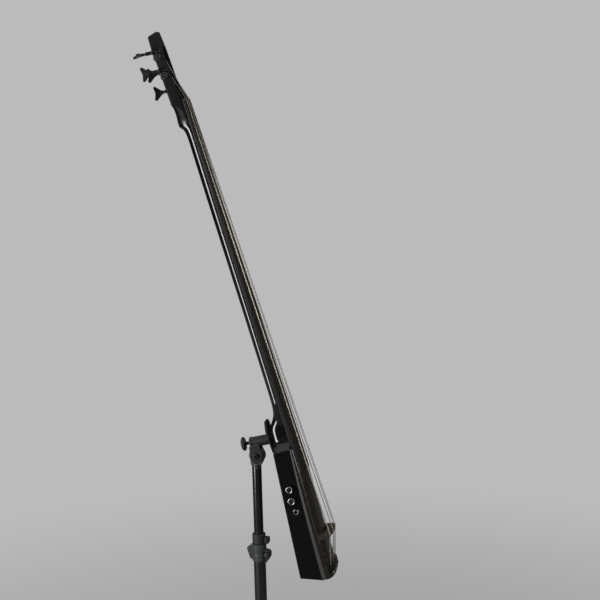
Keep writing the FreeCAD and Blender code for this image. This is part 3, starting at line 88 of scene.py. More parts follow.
def cross_frame(y, z, hint=(0, 0, 1)):
    """Frame with local Z across the instrument, at a place measured from the pole."""
    return axis_frame(on_pole(0, y, z), ACROSS, hint)


def turned(angle):
    """The DEEP and ALONG directions, both turned by angle about ACROSS."""
    return (DEEP * math.cos(angle) + ALONG * math.sin(angle),
            ALONG * math.cos(angle) - DEEP * math.sin(angle))


LEAN_FRAME = basis(NUT, ACROSS, DEEP, ALONG)            # local (x, deep, -down)
SIDE_FRAME = basis(NUT, -ALONG, DEEP, ACROSS)           # local (down, deep, x)
POLE_FRAME = basis(on_pole(0, 0, 0), ACROSS, WORLD_Y, WORLD_Z)
POLE_SIDE = basis(on_pole(0, 0, 0), WORLD_Y, WORLD_Z, ACROSS)   # local (y, z, x)

# ------------------------------------------------------------------ body and board dimensions
BOARD_LENGTH = 905.0
BODY_TOP = 843.0                        # distances below the nut
BODY_END = 1162.7                       # at the front edge
BACK_END = 1145.8                       # at the back face
BACK_DEPTH_TOP = 59.2
BACK_DEPTH_END = 88.1
BACK_SLOPE = (BACK_DEPTH_END - BACK_DEPTH_TOP) / (BACK_END - BODY_TOP)

# (distance below the nut, depth or width)
SIDE_EDGE = [(820.0, 15.4), (BODY_TOP, 17.4), (900.0, 22.4), (955.0, 26.4), (1010.0, 29.8),
             (1061.5, 32.6), (1110.0, 34.9), (BODY_END, 37.2), (1200.0, 38.8)]
BEVEL_WIDTH = [(820.0, 2.2), (BODY_TOP, 2.4), (955.0, 4.0), (1061.5, 5.6), (1200.0, 8.4)]
BEVEL_DEPTH = [(820.0, 2.0), (BODY_TOP, 2.2), (955.0, 3.8), (1061.5, 5.2), (1200.0, 7.6)]
CROWN = [(820.0, 7.2), (BODY_TOP, 6.4), (905.0, 4.9), (943.0, 6.0), (975.0, 7.8), (1006.0, 9.3),
         (1043.0, 10.4), (1100.0, 11.8), (1163.0, 13.6), (1200.0, 15.0)]


def lerp(table, x):
    for (x0, y0), (x1, y1) in zip(table, table[1:]):
        if x <= x1:
            return y0 + (y1 - y0) * (x - x0) / (x1 - x0)
    return table[-1][1]


def smooth(table, at):
    """Smooth monotone curve through a table of (x, y), held level past its ends."""
    x = np.array([row[0] for row in table], float)
    y = np.array([row[1] for row in table], float)
    step = np.diff(x)
    slope = np.diff(y) / step
    tangent = np.zeros(len(x))
    tangent[0], tangent[-1] = slope[0], slope[-1]
    for i in range(1, len(x) - 1):
        if slope[i - 1] * slope[i] > 0:
            w1 = 2 * step[i] + step[i - 1]
            w2 = step[i] + 2 * step[i - 1]
            tangent[i] = (w1 + w2) / (w1 / slope[i - 1] + w2 / slope[i])
    at = np.clip(float(at), x[0], x[-1])
    k = int(np.clip(np.searchsorted(x, at, side="right") - 1, 0, len(x) - 2))
    t = (at - x[k]) / step[k]
    return float((2 * t ** 3 - 3 * t ** 2 + 1) * y[k]
                 + (t ** 3 - 2 * t ** 2 + t) * step[k] * tangent[k]
                 + (-2 * t ** 3 + 3 * t ** 2) * y[k + 1]
                 + (t ** 3 - t ** 2) * step[k] * tangent[k + 1])


def ease(start, end, x):
    """0 at start, 1 at end, level at both."""
    t = min(1.0, max(0.0, (x - start) / (end - start)))
    return t * t * (3 - 2 * t)


def clamp01(x):
    return min(1.0, max(0.0, x))


def bezier(start, corner, end, t):
    return (1 - t) ** 2 * start + 2 * t * (1 - t) * corner + t * t * end


def glue_depth(down):
    return 8.0 + 8.0 * down / BOARD_LENGTH


def board_half(down):
    return 21.5 + 20.5 * down / BOARD_LENGTH


def back_depth(down):
    return BACK_DEPTH_TOP + (down - BODY_TOP) * BACK_SLOPE


def body_half(down):
    return 50.0 + 10.0 * (down - BODY_TOP) / (BODY_END - BODY_TOP)


def arch_depth(down, x):
    """Depth of the arched front, for parts that stand on it."""
    width = body_half(down) - lerp(BEVEL_WIDTH, down)
    edge = lerp(SIDE_EDGE, down) - lerp(BEVEL_DEPTH, down)
    rise = edge - lerp(CROWN, down)
    return edge - rise * (max(0.0, 1 - abs(x / width) ** 2.5)) ** (1 / 2.5)


# ------------------------------------------------------------------ shader helpers (metres)
def put(tree, socket, value):
    """Links an output socket, or sets a value; colours get full alpha."""
    if isinstance(value, bpy.types.NodeSocket):
        tree.links.new(value, socket)
    else:
        socket.default_value = (*value, 1.0) if socket.type == "RGBA" else value


def add_node(tree, kind, **inputs):
    """New shader node; input names are given with _ for spaces."""
    node = tree.nodes.new("ShaderNode" + kind)
    for name, value in inputs.items():
        put(tree, node.inputs[name.replace("_", " ")], value)
    return node


def mix_shader(tree, factor, first, second):
    node = add_node(tree, "MixShader")
    for socket, value in zip(node.inputs, (factor, first, second)):
        put(tree, socket, value)
    return node.outputs[0]


class Shader:
    """A material with one Principled surface and short calls for its textures."""

    def __init__(self, name):
        self.material = bpy.data.materials.new(name)
        self.material.use_nodes = True
        self.tree = self.material.node_tree
        self.tree.nodes.clear()
        self.principled = self.new("BsdfPrincipled")
        self.new("OutputMaterial", Surface=self.principled.outputs[0])
        self.coords = self.new("TexCoord").outputs["Object"]

    def new(self, kind, **inputs):
        return add_node(self.tree, kind, **inputs)

    def lean(self, across=1.0, along=1.0):
        """Coordinates along the strings (Z), across (X) and deep (Y), scaled."""
        upright = self.new("Mapping", Vector=self.coords, Rotation=(LEAN, 0, 0)).outputs[0]
        return self.new("Mapping", Vector=upright, Scale=(across, 1.0, along)).outputs[0]

    def height(self):
        """Distance along the strings."""
        return self.new("SeparateXYZ", Vector=self.lean()).outputs["Z"]

    def noise(self, scale, detail=4.0, rough=0.55, vec=None, warp=0.0):
        return self.new("TexNoise", Vector=vec or self.coords, Scale=scale, Detail=detail,
                        Roughness=rough, Distortion=warp).outputs[0]

    def voronoi(self, scale, vec=None):
        return self.new("TexVoronoi", Vector=vec or self.coords, Scale=scale).outputs["Distance"]

    def wave(self, scale, vec, direction="Z", warp=0.0, detail=2.0, detail_scale=1.0):
        node = self.new("TexWave", Vector=vec, Scale=scale, Distortion=warp, Detail=detail,
                        Detail_Scale=detail_scale)
        node.bands_direction = direction
        return node.outputs["Fac"]

    def math(self, operation, first, second, clamp=False):
        node = self.new("Math")
        node.operation = operation
        node.use_clamp = clamp
        put(self.tree, node.inputs[0], first)
        put(self.tree, node.inputs[1], second)
        return node.outputs[0]

    def fit(self, value, span, to=(0.0, 1.0)):
        """Maps span onto to."""
        return self.new("MapRange", Value=value, From_Min=span[0], From_Max=span[1],
                        To_Min=to[0], To_Max=to[1]).outputs[0]

    def mix(self, factor, first, second):
        node = self.new("Mix")
        node.data_type = "RGBA"
        for index, value in ((0, factor), (6, first), (7, second)):
            put(self.tree, node.inputs[index], value)
        return node.outputs[2]

    def bump(self, height, distance, strength=1.0, normal=None):
        node = self.new("Bump", Distance=distance, Strength=strength, Height=height)
        if normal is not None:
            put(self.tree, node.inputs["Normal"], normal)
        return node.outputs[0]

    def soft(self, radius):
        """Normal rounded over edges."""
        node = self.new("Bevel", Radius=radius)
        node.samples = 4
        return node.outputs[0]

    def edge(self, radius):
        """1 on edges, 0 on open faces."""
        dot = self.new("VectorMath")
        dot.operation = "DOT_PRODUCT"
        put(self.tree, dot.inputs[0], self.soft(radius))
        put(self.tree, dot.inputs[1], self.new("NewGeometry").outputs["Normal"])
        return self.fit(dot.outputs["Value"], (0.992, 0.90))

    def surface(self, inputs):
        for name, value in inputs.items():
            put(self.tree, self.principled.inputs[name], value)
        return self.material


def tint(color, gain):
    return tuple(clamp01(v * gain) for v in color)


# ------------------------------------------------------------------ materials
NUT_HEIGHT = float(NUT @ ALONG) / 1000.0


def finish(name, col, rough, metal=0.0, coat=0.0, coat_rough=0.06, var=0.25, mottle=45.0,
           grain=None, peel=None, wear=None, soft=0.0, rvar=0.08, dust=0.0, spec=0.5,
           streak=None):
    """A mottled finish with smudged roughness.

    var, rvar: spread of colour and roughness; mottle: noise scale; soft: edge radius.
    grain, peel: (scale, bump distance); wear: (amount, colour, edge radius);
    streak: (scale, stretch along the strings, amount); dust: amount.
    """
    n = Shader(name)
    blotch = n.noise(scale=mottle, detail=6.0, rough=0.6)
    color = n.mix(n.fit(blotch, (0.32, 0.68)), tint(col, 1 - var), tint(col, 1 + var))
    smudge = n.noise(scale=mottle * 0.35, detail=5.0, rough=0.65, warp=0.6)
    roughness = n.fit(smudge, (0.3, 0.7), to=(max(0.02, rough - rvar), min(1.0, rough + rvar)))
    if streak:
        scale, stretch, amount = streak
        lines = n.noise(scale=scale, detail=5.0, rough=0.6, vec=n.lean(along=stretch))
        color = n.mix(n.fit(lines, (0.35, 0.7), to=(0.0, amount)), color, tint(col, 2.2))
        roughness = n.math("ADD", roughness, n.fit(lines, (0.3, 0.7), to=(-0.05, 0.07)),
                           clamp=True)
    normal = n.soft(soft) if soft else None
    if peel:
        scale, distance = peel
        normal = n.bump(n.noise(scale=scale, detail=2.0, rough=0.5), distance, 0.6, normal)
    if grain:
        scale, distance = grain
        normal = n.bump(n.noise(scale=scale, detail=3.0, rough=0.6), distance, 0.7, normal)
        light = n.fit(n.noise(scale=scale * 0.7, detail=2.0), (0.35, 0.75), to=(0.0, 0.25))
        color = n.mix(light, color, tint(col, 1.7))
    if dust:
        specks = n.fit(n.voronoi(scale=420.0), (0.0, 0.16), to=(1.0, 0.0))
        patches = n.fit(n.noise(scale=30.0, detail=3.0), (0.5, 0.75), to=(0.0, dust))
        specks = n.math("MULTIPLY", specks, patches, clamp=True)
        color = n.mix(specks, color, (0.42, 0.41, 0.39))
        roughness = n.math("ADD", roughness, n.math("MULTIPLY", specks, 0.35), clamp=True)
    if wear:
        amount, worn_color, radius = wear
        patches = n.fit(n.noise(scale=260.0, detail=5.0, rough=0.7), (0.42, 0.62),
                        to=(0.1, 1.0))
        worn = n.math("MULTIPLY", n.edge(radius), patches, clamp=True)
        worn = n.math("MULTIPLY", worn, amount, clamp=True)
        color = n.mix(worn, color, worn_color)
        roughness = n.math("SUBTRACT", roughness, n.math("MULTIPLY", worn, 0.12), clamp=True)
    inputs = {"Base Color": color, "Roughness": roughness, "Metallic": metal,
              "Coat Weight": coat, "Coat Roughness": coat_rough, "Specular IOR Level": spec}
    if normal is not None:
        inputs["Normal"] = normal
    return n.surface(inputs)


def mat_top():
    """Black-brown see-through stain over figured maple under thick gloss."""
    n = Shader("top_lacquer")
    flame = n.wave(scale=21.0, vec=n.lean(), warp=7.5, detail=3.0, detail_scale=0.9)
    cloud = n.noise(scale=26.0, rough=0.6, vec=n.lean(along=0.25))
    fine = n.noise(scale=900.0, rough=0.6, vec=n.lean(along=0.05))
    color = n.mix(n.fit(flame, (0.1, 0.9), to=(0.0, 0.42)),
                  (0.012, 0.0085, 0.0065), (0.036, 0.030, 0.021))
    color = n.mix(n.fit(cloud, (0.35, 0.7), to=(0.0, 0.55)), color, (0.018, 0.015, 0.010))
    color = n.mix(n.fit(fine, (0.4, 0.75), to=(0.0, 0.35)), color, (0.050, 0.041, 0.029))
    smudge = n.noise(scale=30.0, detail=5.0, rough=0.6)
    ripple = n.noise(scale=160.0, detail=2.0, rough=0.5)
    return n.surface({
        "Base Color": color,
        "Roughness": n.fit(smudge, (0.3, 0.7), to=(0.16, 0.30)),
        "Coat Weight": 1.0,
        "Coat Roughness": 0.035,
        "Normal": n.bump(ripple, distance=0.00003, strength=0.5, normal=n.soft(0.0009))})


def mat_neck():
    """Black lacquer, satin on the head and mirror-bright from the volute down."""
    n = Shader("neck_lacquer")
    height = n.height()
    gloss = n.fit(height, (NUT_HEIGHT - 0.040, NUT_HEIGHT - 0.056))
    # painted sheen mask: 0 just below the nut, 1 towards the head's tip
    painted_tip_sheen = n.fit(height, (NUT_HEIGHT - 0.02, NUT_HEIGHT + 0.14))
    blotch = n.noise(scale=42.0, detail=6.0, rough=0.6)
    glossy = n.mix(n.fit(blotch, (0.32, 0.68)),
                   (0.0045, 0.0045, 0.0055), (0.0085, 0.0085, 0.0095))
    # painted sheen: the satin head's colour is lighter towards its tip, standing in for the light its side
    # catches there
    satin = n.mix(n.fit(blotch, (0.3, 0.7)),
                  n.mix(painted_tip_sheen, (0.0030, 0.0030, 0.0034), (0.0120, 0.0120, 0.0120)),
                  n.mix(painted_tip_sheen, (0.0050, 0.0050, 0.0054), (0.0190, 0.0190, 0.0188)))
    smudge = n.noise(scale=16.0, detail=5.0, rough=0.65, warp=0.6)
    specks = n.math("MULTIPLY", n.fit(n.voronoi(scale=430.0), (0.0, 0.14), to=(1.0, 0.0)),
                    n.fit(n.noise(scale=30.0, detail=3.0), (0.52, 0.75), to=(0.0, 0.14)),
                    clamp=True)
    ripple = n.noise(scale=190.0, detail=2.0, rough=0.5)
    return n.surface({
        "Base Color": n.mix(specks, n.mix(gloss, satin, glossy), (0.20, 0.195, 0.19)),
        "Roughness": n.math("ADD", n.fit(gloss, (0.0, 1.0), to=(0.42, 0.09)),
                            n.fit(smudge, (0.3, 0.7), to=(-0.03, 0.05)), clamp=True),
        "Coat Weight": n.fit(gloss, (0.0, 1.0), to=(0.05, 1.0)),
        "Specular IOR Level": n.fit(gloss, (0.0, 1.0), to=(0.14, 0.5)),
        "Coat Roughness": n.fit(gloss, (0.0, 1.0), to=(0.30, 0.028)),
        "Normal": n.bump(ripple, distance=0.000022, strength=0.6, normal=n.soft(0.0011))})


def mat_ebony():
    """Dark wood with fine pores along the strings."""
    n = Shader("ebony")
    lines = n.noise(scale=420.0, detail=5.0, rough=0.62, vec=n.lean(along=0.035))
    bands = n.noise(scale=60.0, vec=n.lean(along=0.08))
    pores = n.noise(scale=1500.0, detail=2.0, rough=0.5, vec=n.lean(along=0.06))
    color = n.mix(n.fit(lines, (0.35, 0.7)), (0.0075, 0.0068, 0.0056), (0.018, 0.0155, 0.012))
    color = n.mix(n.fit(bands, (0.45, 0.7), to=(0.0, 0.5)), color, (0.025, 0.020, 0.015))
    color = n.mix(n.fit(pores, (0.60, 0.72), to=(0.0, 0.8)), color, (0.006, 0.005, 0.005))
    polish = n.noise(scale=35.0, rough=0.6, vec=n.lean(along=0.2))
    return n.surface({
        "Base Color": color,
        "Roughness": n.fit(polish, (0.3, 0.7), to=(0.34, 0.46)),
        "Coat Weight": 0.10,
        "Coat Roughness": 0.22,
        "Normal": n.bump(n.fit(pores, (0.55, 0.72), to=(1.0, 0.0)), distance=0.000012,
                         strength=0.5, normal=n.soft(0.0006))})


def mat_string():
    """Flat-wound steel: fine wraps across the string, dark rubbed marks, and painted shade at the nut and over
    the head.
    """
    n = Shader("string_steel")
    wrap = n.wave(scale=1250.0, vec=n.lean(), warp=0.4)
    mottle = n.noise(scale=60.0, rough=0.6, vec=n.lean(along=0.1))
    color = n.mix(n.fit(wrap, (0.0, 0.35), to=(0.75, 1.0)),
                  (0.30, 0.285, 0.24), (0.57, 0.53, 0.44))
    color = n.mix(n.fit(mottle, (0.4, 0.75), to=(0.0, 0.16)), color, (0.40, 0.36, 0.28))
    # painted shade: darker from 340 mm below the nut, strongest at the nut and over the head, dimming the
    # strings' reflections there
    painted_shade_by_nut = n.fit(n.height(), (NUT_HEIGHT - 0.34, NUT_HEIGHT - 0.02), to=(0.0, 0.72))
    return n.surface({
        "Base Color": n.mix(painted_shade_by_nut, color, (0.085, 0.080, 0.066)),
        "Roughness": n.fit(mottle, (0.3, 0.7), to=(0.42, 0.50)),
        "Metallic": 1.0,
        "Normal": n.bump(wrap, distance=0.00001, strength=0.3)})


def mat_bridge():
    """Stained wood with its grain across, pale flecks and worn edges."""
    n = Shader("bridge_wood")
    lines = n.noise(scale=520.0, rough=0.6, vec=n.lean(across=0.12))
    flecks = n.voronoi(scale=700.0, vec=n.lean(across=0.35))
    color = n.mix(n.fit(lines, (0.35, 0.7)), (0.022, 0.018, 0.015), (0.060, 0.046, 0.034))
    color = n.mix(n.fit(flecks, (0.0, 0.22), to=(0.55, 0.0)), color, (0.10, 0.076, 0.052))
    patches = n.fit(n.noise(scale=240.0, detail=5.0), (0.4, 0.6), to=(0.1, 0.9))
    worn = n.math("MULTIPLY", n.edge(0.0009), patches, clamp=True)
    return n.surface({
        "Base Color": n.mix(worn, color, (0.15, 0.115, 0.08)),
        "Roughness": n.fit(n.noise(scale=60.0), (0.3, 0.7), to=(0.34, 0.52)),
        "Coat Weight": 0.2,
        "Coat Roughness": 0.3,
        "Normal": n.bump(lines, distance=0.00005, strength=0.6, normal=n.soft(0.0005))})


def mat_board():
    """Solder-masked circuit board with tracks and pads."""
    n = Shader("board_green")
    vec = n.lean()
    rows = n.wave(scale=330.0, vec=vec, direction="X", warp=2.0, detail=0.0)
    breaks = n.wave(scale=240.0, vec=vec, warp=3.0, detail=0.0)
    tracks = n.math("MULTIPLY", n.fit(rows, (0.55, 0.6)), n.fit(breaks, (0.3, 0.4)))
    color = n.mix(tracks, (0.012, 0.10, 0.045), (0.02, 0.19, 0.085))
    pads = n.fit(n.voronoi(scale=260.0, vec=vec), (0.05, 0.09), to=(1.0, 0.0))
    return n.surface({
        "Base Color": n.mix(pads, color, (0.55, 0.50, 0.36)),
        "Roughness": n.fit(n.noise(scale=200.0), (0.3, 0.7), to=(0.25, 0.4)),
        "Normal": n.bump(tracks, distance=0.00004, strength=0.8)})


FINISHES = {
    "nut_bone": dict(col=(0.060, 0.054, 0.047), rough=0.24, var=0.3, mottle=300.0,
                     grain=(1800.0, 0.00001), soft=0.0003, coat=0.6, coat_rough=0.18),
    "body_black": dict(col=(0.0030, 0.0030, 0.0036), rough=0.27, spec=0.3, coat=0.12,
                       coat_rough=0.22, var=0.22, mottle=30.0, peel=(260.0, 0.00003),
                       rvar=0.07, dust=0.35, soft=0.0012,
                       wear=(0.25, (0.07, 0.07, 0.075), 0.0010)),
    "cover_plastic": dict(col=(0.016, 0.016, 0.017), rough=0.52, var=0.2,
                          grain=(2200.0, 0.00004), soft=0.0006, dust=0.3),
    "steel": dict(col=(0.46, 0.46, 0.47), rough=0.30, metal=1.0, var=0.15, mottle=220.0,
                  grain=(1400.0, 0.00001), soft=0.0004),
    "black_screws": dict(col=(0.035, 0.035, 0.038), rough=0.38, metal=0.85, var=0.3,
                         mottle=300.0, wear=(0.8, (0.22, 0.22, 0.22), 0.0004), soft=0.0003),
    "insert_metal": dict(col=(0.16, 0.16, 0.17), rough=0.34, metal=1.0, var=0.2,
                         mottle=200.0, wear=(0.6, (0.4, 0.4, 0.4), 0.0006)),
    "cast_black": dict(col=(0.020, 0.0205, 0.022), rough=0.42, var=0.3, mottle=120.0,
                       grain=(1500.0, 0.00006), coat=0.15, coat_rough=0.35,
                       wear=(0.55, (0.13, 0.13, 0.135), 0.0012), dust=0.3),
    "cast_grey": dict(col=(0.085, 0.089, 0.090), rough=0.46, metal=0.35, var=0.22,
                      mottle=140.0, grain=(1300.0, 0.00006),
                      wear=(0.5, (0.26, 0.26, 0.26), 0.0012)),
    "piezo": dict(col=(0.55, 0.42, 0.20), rough=0.32, metal=1.0, var=0.2, mottle=300.0,
                  grain=(1500.0, 0.00001)),
    "anchor_metal": dict(col=(0.030, 0.030, 0.031), rough=0.30, metal=0.8, var=0.3,
                         mottle=160.0, wear=(0.7, (0.22, 0.21, 0.19), 0.0008), soft=0.0005,
                         grain=(1800.0, 0.00001)),
    "pot_metal": dict(col=(0.46, 0.46, 0.46), rough=0.34, metal=1.0, var=0.2, mottle=260.0,
                      grain=(1400.0, 0.00001), soft=0.0004),
    "jack_metal": dict(col=(0.42, 0.42, 0.42), rough=0.20, metal=1.0, var=0.12, mottle=240.0,
                       grain=(1900.0, 0.000006), soft=0.0004),
    "battery_case": dict(col=(0.075, 0.075, 0.09), rough=0.30, var=0.2, mottle=90.0,
                         coat=0.4, soft=0.0008, grain=(1600.0, 0.00001)),
    "wire_red": dict(col=(0.28, 0.018, 0.018), rough=0.40, var=0.2, mottle=300.0,
                     grain=(1500.0, 0.00001)),
    "tuner_plate": dict(col=(0.028, 0.028, 0.030), rough=0.32, metal=0.75, var=0.3,
                        mottle=200.0, wear=(0.7, (0.20, 0.20, 0.20), 0.0005),
                        grain=(1900.0, 0.000012), soft=0.0004),
    "tuner_gear": dict(col=(0.042, 0.042, 0.044), rough=0.40, metal=0.9, var=0.3,
                       mottle=260.0, wear=(0.6, (0.22, 0.21, 0.20), 0.0004),
                       grain=(1900.0, 0.000012)),
    "tuner_key": dict(col=(0.022, 0.022, 0.024), rough=0.28, metal=0.7, var=0.3,
                      mottle=120.0, wear=(0.75, (0.20, 0.19, 0.18), 0.0010),
                      grain=(1900.0, 0.000012), soft=0.0005),
    "knob_black": dict(col=(0.014, 0.014, 0.015), rough=0.30, mottle=240.0, coat=0.3,
                       grain=(1800.0, 0.00001), soft=0.0003),
    "grip_plastic": dict(col=(0.026, 0.026, 0.028), rough=0.46, mottle=150.0,
                         grain=(1700.0, 0.00005), wear=(0.4, (0.10, 0.10, 0.10), 0.0008),
                         dust=0.3),
    "tube_gloss": dict(col=(0.0085, 0.0090, 0.0105), rough=0.17, coat=0.8, coat_rough=0.10,
                       var=0.2, mottle=60.0, peel=(240.0, 0.000012), rvar=0.05, dust=0.3,
                       soft=0.0006),
    "tube_satin": dict(col=(0.020, 0.020, 0.0205), rough=0.40, var=0.22, mottle=60.0,
                       coat=0.1, coat_rough=0.3, peel=(420.0, 0.00005), dust=0.4,
                       soft=0.0006, wear=(0.4, (0.12, 0.12, 0.12), 0.0008)),
    "collar_plastic": dict(col=(0.034, 0.035, 0.037), rough=0.48, var=0.2, mottle=180.0,
                           grain=(1500.0, 0.00007), wear=(0.4, (0.16, 0.16, 0.16), 0.0010),
                           dust=0.3),
    "clamp_plastic": dict(col=(0.060, 0.065, 0.067), rough=0.50, var=0.2, mottle=180.0,
                          grain=(1500.0, 0.00007), wear=(0.45, (0.26, 0.26, 0.25), 0.0010),
                          dust=0.4),
    "bushing_plastic": dict(col=(0.50, 0.50, 0.47), rough=0.42, var=0.1, mottle=180.0,
                            grain=(1500.0, 0.00003), soft=0.0006),
    "hub_plastic": dict(col=(0.034, 0.034, 0.036), rough=0.50, var=0.22, mottle=160.0,
                        grain=(1500.0, 0.00007), wear=(0.4, (0.12, 0.12, 0.12), 0.0012),
                        dust=0.5),
    "foot_rubber": dict(col=(0.020, 0.020, 0.020), rough=0.78, mottle=110.0,
                        grain=(1100.0, 0.00010), dust=0.8, spec=0.3),
    "worn_ring": dict(col=(0.42, 0.42, 0.41), rough=0.26, metal=1.0, mottle=420.0,
                      grain=(1500.0, 0.00001)),
    "edge_band": dict(col=(0.040, 0.040, 0.038), rough=0.34, coat=0.5, coat_rough=0.25,
                      var=0.2, mottle=40.0, peel=(260.0, 0.00003), rvar=0.05,
                      streak=(60.0, 0.06, 0.25)),
}
MAT = {"neck_lacquer": mat_neck()}
for slot_name, look in FINISHES.items():
    MAT[slot_name] = finish(slot_name, **look)
MAT.update({"top_lacquer": mat_top(), "ebony": mat_ebony(), "string_steel": mat_string(),
            "bridge_wood": mat_bridge(), "board_green": mat_board()})


# ------------------------------------------------------------------ mesh helpers (millimetres)
def mesh_object(name, verts, faces):
    mesh = bpy.data.meshes.new(name)
    mesh.from_pydata([tuple(map(float, v)) for v in verts], [], faces)
    mesh.validate()
    mesh.update()
    o = bpy.data.objects.new(name, mesh)
    bpy.context.scene.collection.objects.link(o)
    return o


def discard(o):
    mesh = o.data
    bpy.data.objects.remove(o)
    bpy.data.meshes.remove(mesh)


def fix_normals(o):
    bm = bmesh.new()
    bm.from_mesh(o.data)
    bmesh.ops.remove_doubles(bm, verts=bm.verts, dist=1e-5)
    bmesh.ops.recalc_face_normals(bm, faces=bm.faces)
    bm.to_mesh(o.data)
    bm.free()
    return o


def apply_modifiers(o):
    graph = bpy.context.evaluated_depsgraph_get()
    mesh = bpy.data.meshes.new_from_object(o.evaluated_get(graph), depsgraph=graph)
    old = o.data
    o.modifiers.clear()
    o.data = mesh
    bpy.data.meshes.remove(old)
    return o


def join(objects, name):
    verts, faces = [], []
    for o in objects:
        base = len(verts)
        verts += [tuple(o.matrix_world @ v.co) for v in o.data.vertices]
        faces += [tuple(base + i for i in face.vertices) for face in o.data.polygons]
        discard(o)
    return mesh_object(name, verts, faces)


def remesh(o, voxel, smoothing):
    """Voxel skin, then smoothing passes that round its edges."""
    skin = o.modifiers.new("skin", "REMESH")
    skin.mode = "VOXEL"
    skin.voxel_size = voxel
    skin.use_smooth_shade = True
    relax = o.modifiers.new("relax", "SMOOTH")
    relax.factor = 0.5
    relax.iterations = smoothing
    return apply_modifiers(o)


def boolean(o, cutters, operation="DIFFERENCE"):
    for cutter in cutters:
        modifier = o.modifiers.new("cut", "BOOLEAN")
        modifier.operation = operation
        modifier.solver = "EXACT"
        modifier.object = cutter
    apply_modifiers(o)
    for cutter in cutters:
        discard(cutter)
    return o


def loft(loops, name="part"):
    """Quads between equal loops of points, with flat ends."""
    n = len(loops[0])
    verts = [p for loop in loops for p in loop]
    faces = []
    for i in range(len(loops) - 1):
        for k in range(n):
            a, b = i * n + k, i * n + (k + 1) % n
            faces.append((a, b, b + n, a + n))
    faces.append(tuple(range(n - 1, -1, -1)))
    faces.append(tuple((len(loops) - 1) * n + k for k in range(n)))
    return fix_normals(mesh_object(name, verts, faces))


def fillet(points, radius, closed=False, steps=4):
    """Rounds the corners of a polyline of (a, b)."""
    out = []
    n = len(points)
    for i, point in enumerate(points):
        if not closed and i in (0, n - 1):
            out.append(tuple(point))
            continue
        before, corner, after = (np.array(p, float)
                                 for p in (points[i - 1], point, points[(i + 1) % n]))
        u, v = before - corner, after - corner
        u_length, v_length = np.linalg.norm(u), np.linalg.norm(v)
        u, v = u / u_length, v / v_length
        angle = math.acos(float(np.clip(u @ v, -1, 1)))
        if angle > math.radians(165):
            out.append(tuple(point))
            continue
        trim = min(radius / math.tan(angle / 2), u_length * 0.45, v_length * 0.45)
        for k in range(steps + 1):
            p = bezier(corner + u * trim, corner, corner + v * trim, k / steps)
            out.append((float(p[0]), float(p[1])))
    return out


def lathe(profile, frame, seg=96, rounding=0.0, radius_at=None, name="part"):
    """Turned form: (radius, height) round local Z.

    radius_at(theta, radius, height) changes the radius.
    """
    if rounding:
        profile = fillet(profile, rounding)
    verts, faces, rings = [], [], []
    for radius, height in profile:
        if radius < 1e-6:
            rings.append([len(verts)])
            verts.append(frame @ Vector((0, 0, height)))
            continue
        rings.append(list(range(len(verts), len(verts) + seg)))
        for k in range(seg):
            t = 2 * math.pi * k / seg
            r = radius_at(t, radius, height) if radius_at else radius
            verts.append(frame @ Vector((r * math.cos(t), r * math.sin(t), height)))
    for a, b in zip(rings, rings[1:]):
        for k in range(seg):
            k2 = (k + 1) % seg
            if len(a) == 1:
                faces.append((a[0], b[k], b[k2]))
            elif len(b) == 1:
                faces.append((a[k], b[0], a[k2]))
            else:
                faces.append((a[k], b[k], b[k2], a[k2]))
    return fix_normals(mesh_object(name, verts, faces))


def rod(frame, radius, low, high, seg, rounding=0.0):
    """Solid cylinder along local Z."""
    return lathe([(0, low), (radius, low), (radius, high), (0, high)], frame, seg, rounding)


def prism(outline, low, high, frame, bevel=0.0, steps=3):
    """Outline in local XY pushed from low to high along local Z, edges bevelled."""
    n = len(outline)
    verts = [frame @ Vector((x, y, z)) for z in (low, high) for x, y in outline]
    faces = [tuple(range(n - 1, -1, -1)), tuple(range(n, 2 * n))]
    faces += [(k, (k + 1) % n, n + (k + 1) % n, n + k) for k in range(n)]
    o = fix_normals(mesh_object("part", verts, faces))
    if bevel:
        bm = bmesh.new()
        bm.from_mesh(o.data)
        edges = [e for e in bm.edges
                 if len(e.link_faces) == 2 and e.calc_face_angle(0) > math.radians(28)]
        bmesh.ops.bevel(bm, geom=edges, offset=bevel, segments=steps, profile=0.5,
                        affect="EDGES", clamp_overlap=True)
        bm.to_mesh(o.data)
        bm.free()
    return o


def hexagon(radius):
    return [(radius * math.cos(math.radians(60 * k)), radius * math.sin(math.radians(60 * k)))
            for k in range(6)]


def arc(center_a, center_b, radius, degrees):
    return [(center_a + radius * math.cos(math.radians(a)),
             center_b + radius * math.sin(math.radians(a))) for a in degrees]


def round_wire(points, radius, seg=14):
    """Round rod along points."""
    loops = []
    for i, p in enumerate(points):
        tangent = points[min(len(points) - 1, i + 1)] - points[max(0, i - 1)]
        tangent = tangent / np.linalg.norm(tangent)
        u = ACROSS - tangent * (ACROSS @ tangent)
        u /= np.linalg.norm(u)
        v = np.cross(tangent, u)
        angles = [2 * math.pi * k / seg for k in range(seg)]
        loops.append([p + radius * (math.cos(a) * u + math.sin(a) * v) for a in angles])
    return loft(loops)


def place(o, node, angle=35, painted=False):
    """Scales to metres, shades, gives the finish and stands in for a CAD node."""
    mesh = o.data
    mesh.transform(Matrix.Scale(0.001, 4))
    mesh.polygons.foreach_set("use_smooth", [True] * len(mesh.polygons))
    mesh.set_sharp_from_angle(angle=math.radians(angle))
    mesh.update()
    slot = SLOT_OF[node]
    if not painted:
        mesh.materials.clear()
        mesh.materials.append(MAT[slot])
    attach(o, BODY_OF[node])
    if node in cad["nodes"]:
        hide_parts(node)


def paint(o, base, accent, is_accent):
    """Two finishes on one mesh, picked face by face."""
    o.data.materials.clear()
    o.data.materials.append(MAT[base])
    o.data.materials.append(MAT[accent])
    for face in o.data.polygons:
        face.material_index = 1 if is_accent(face) else 0


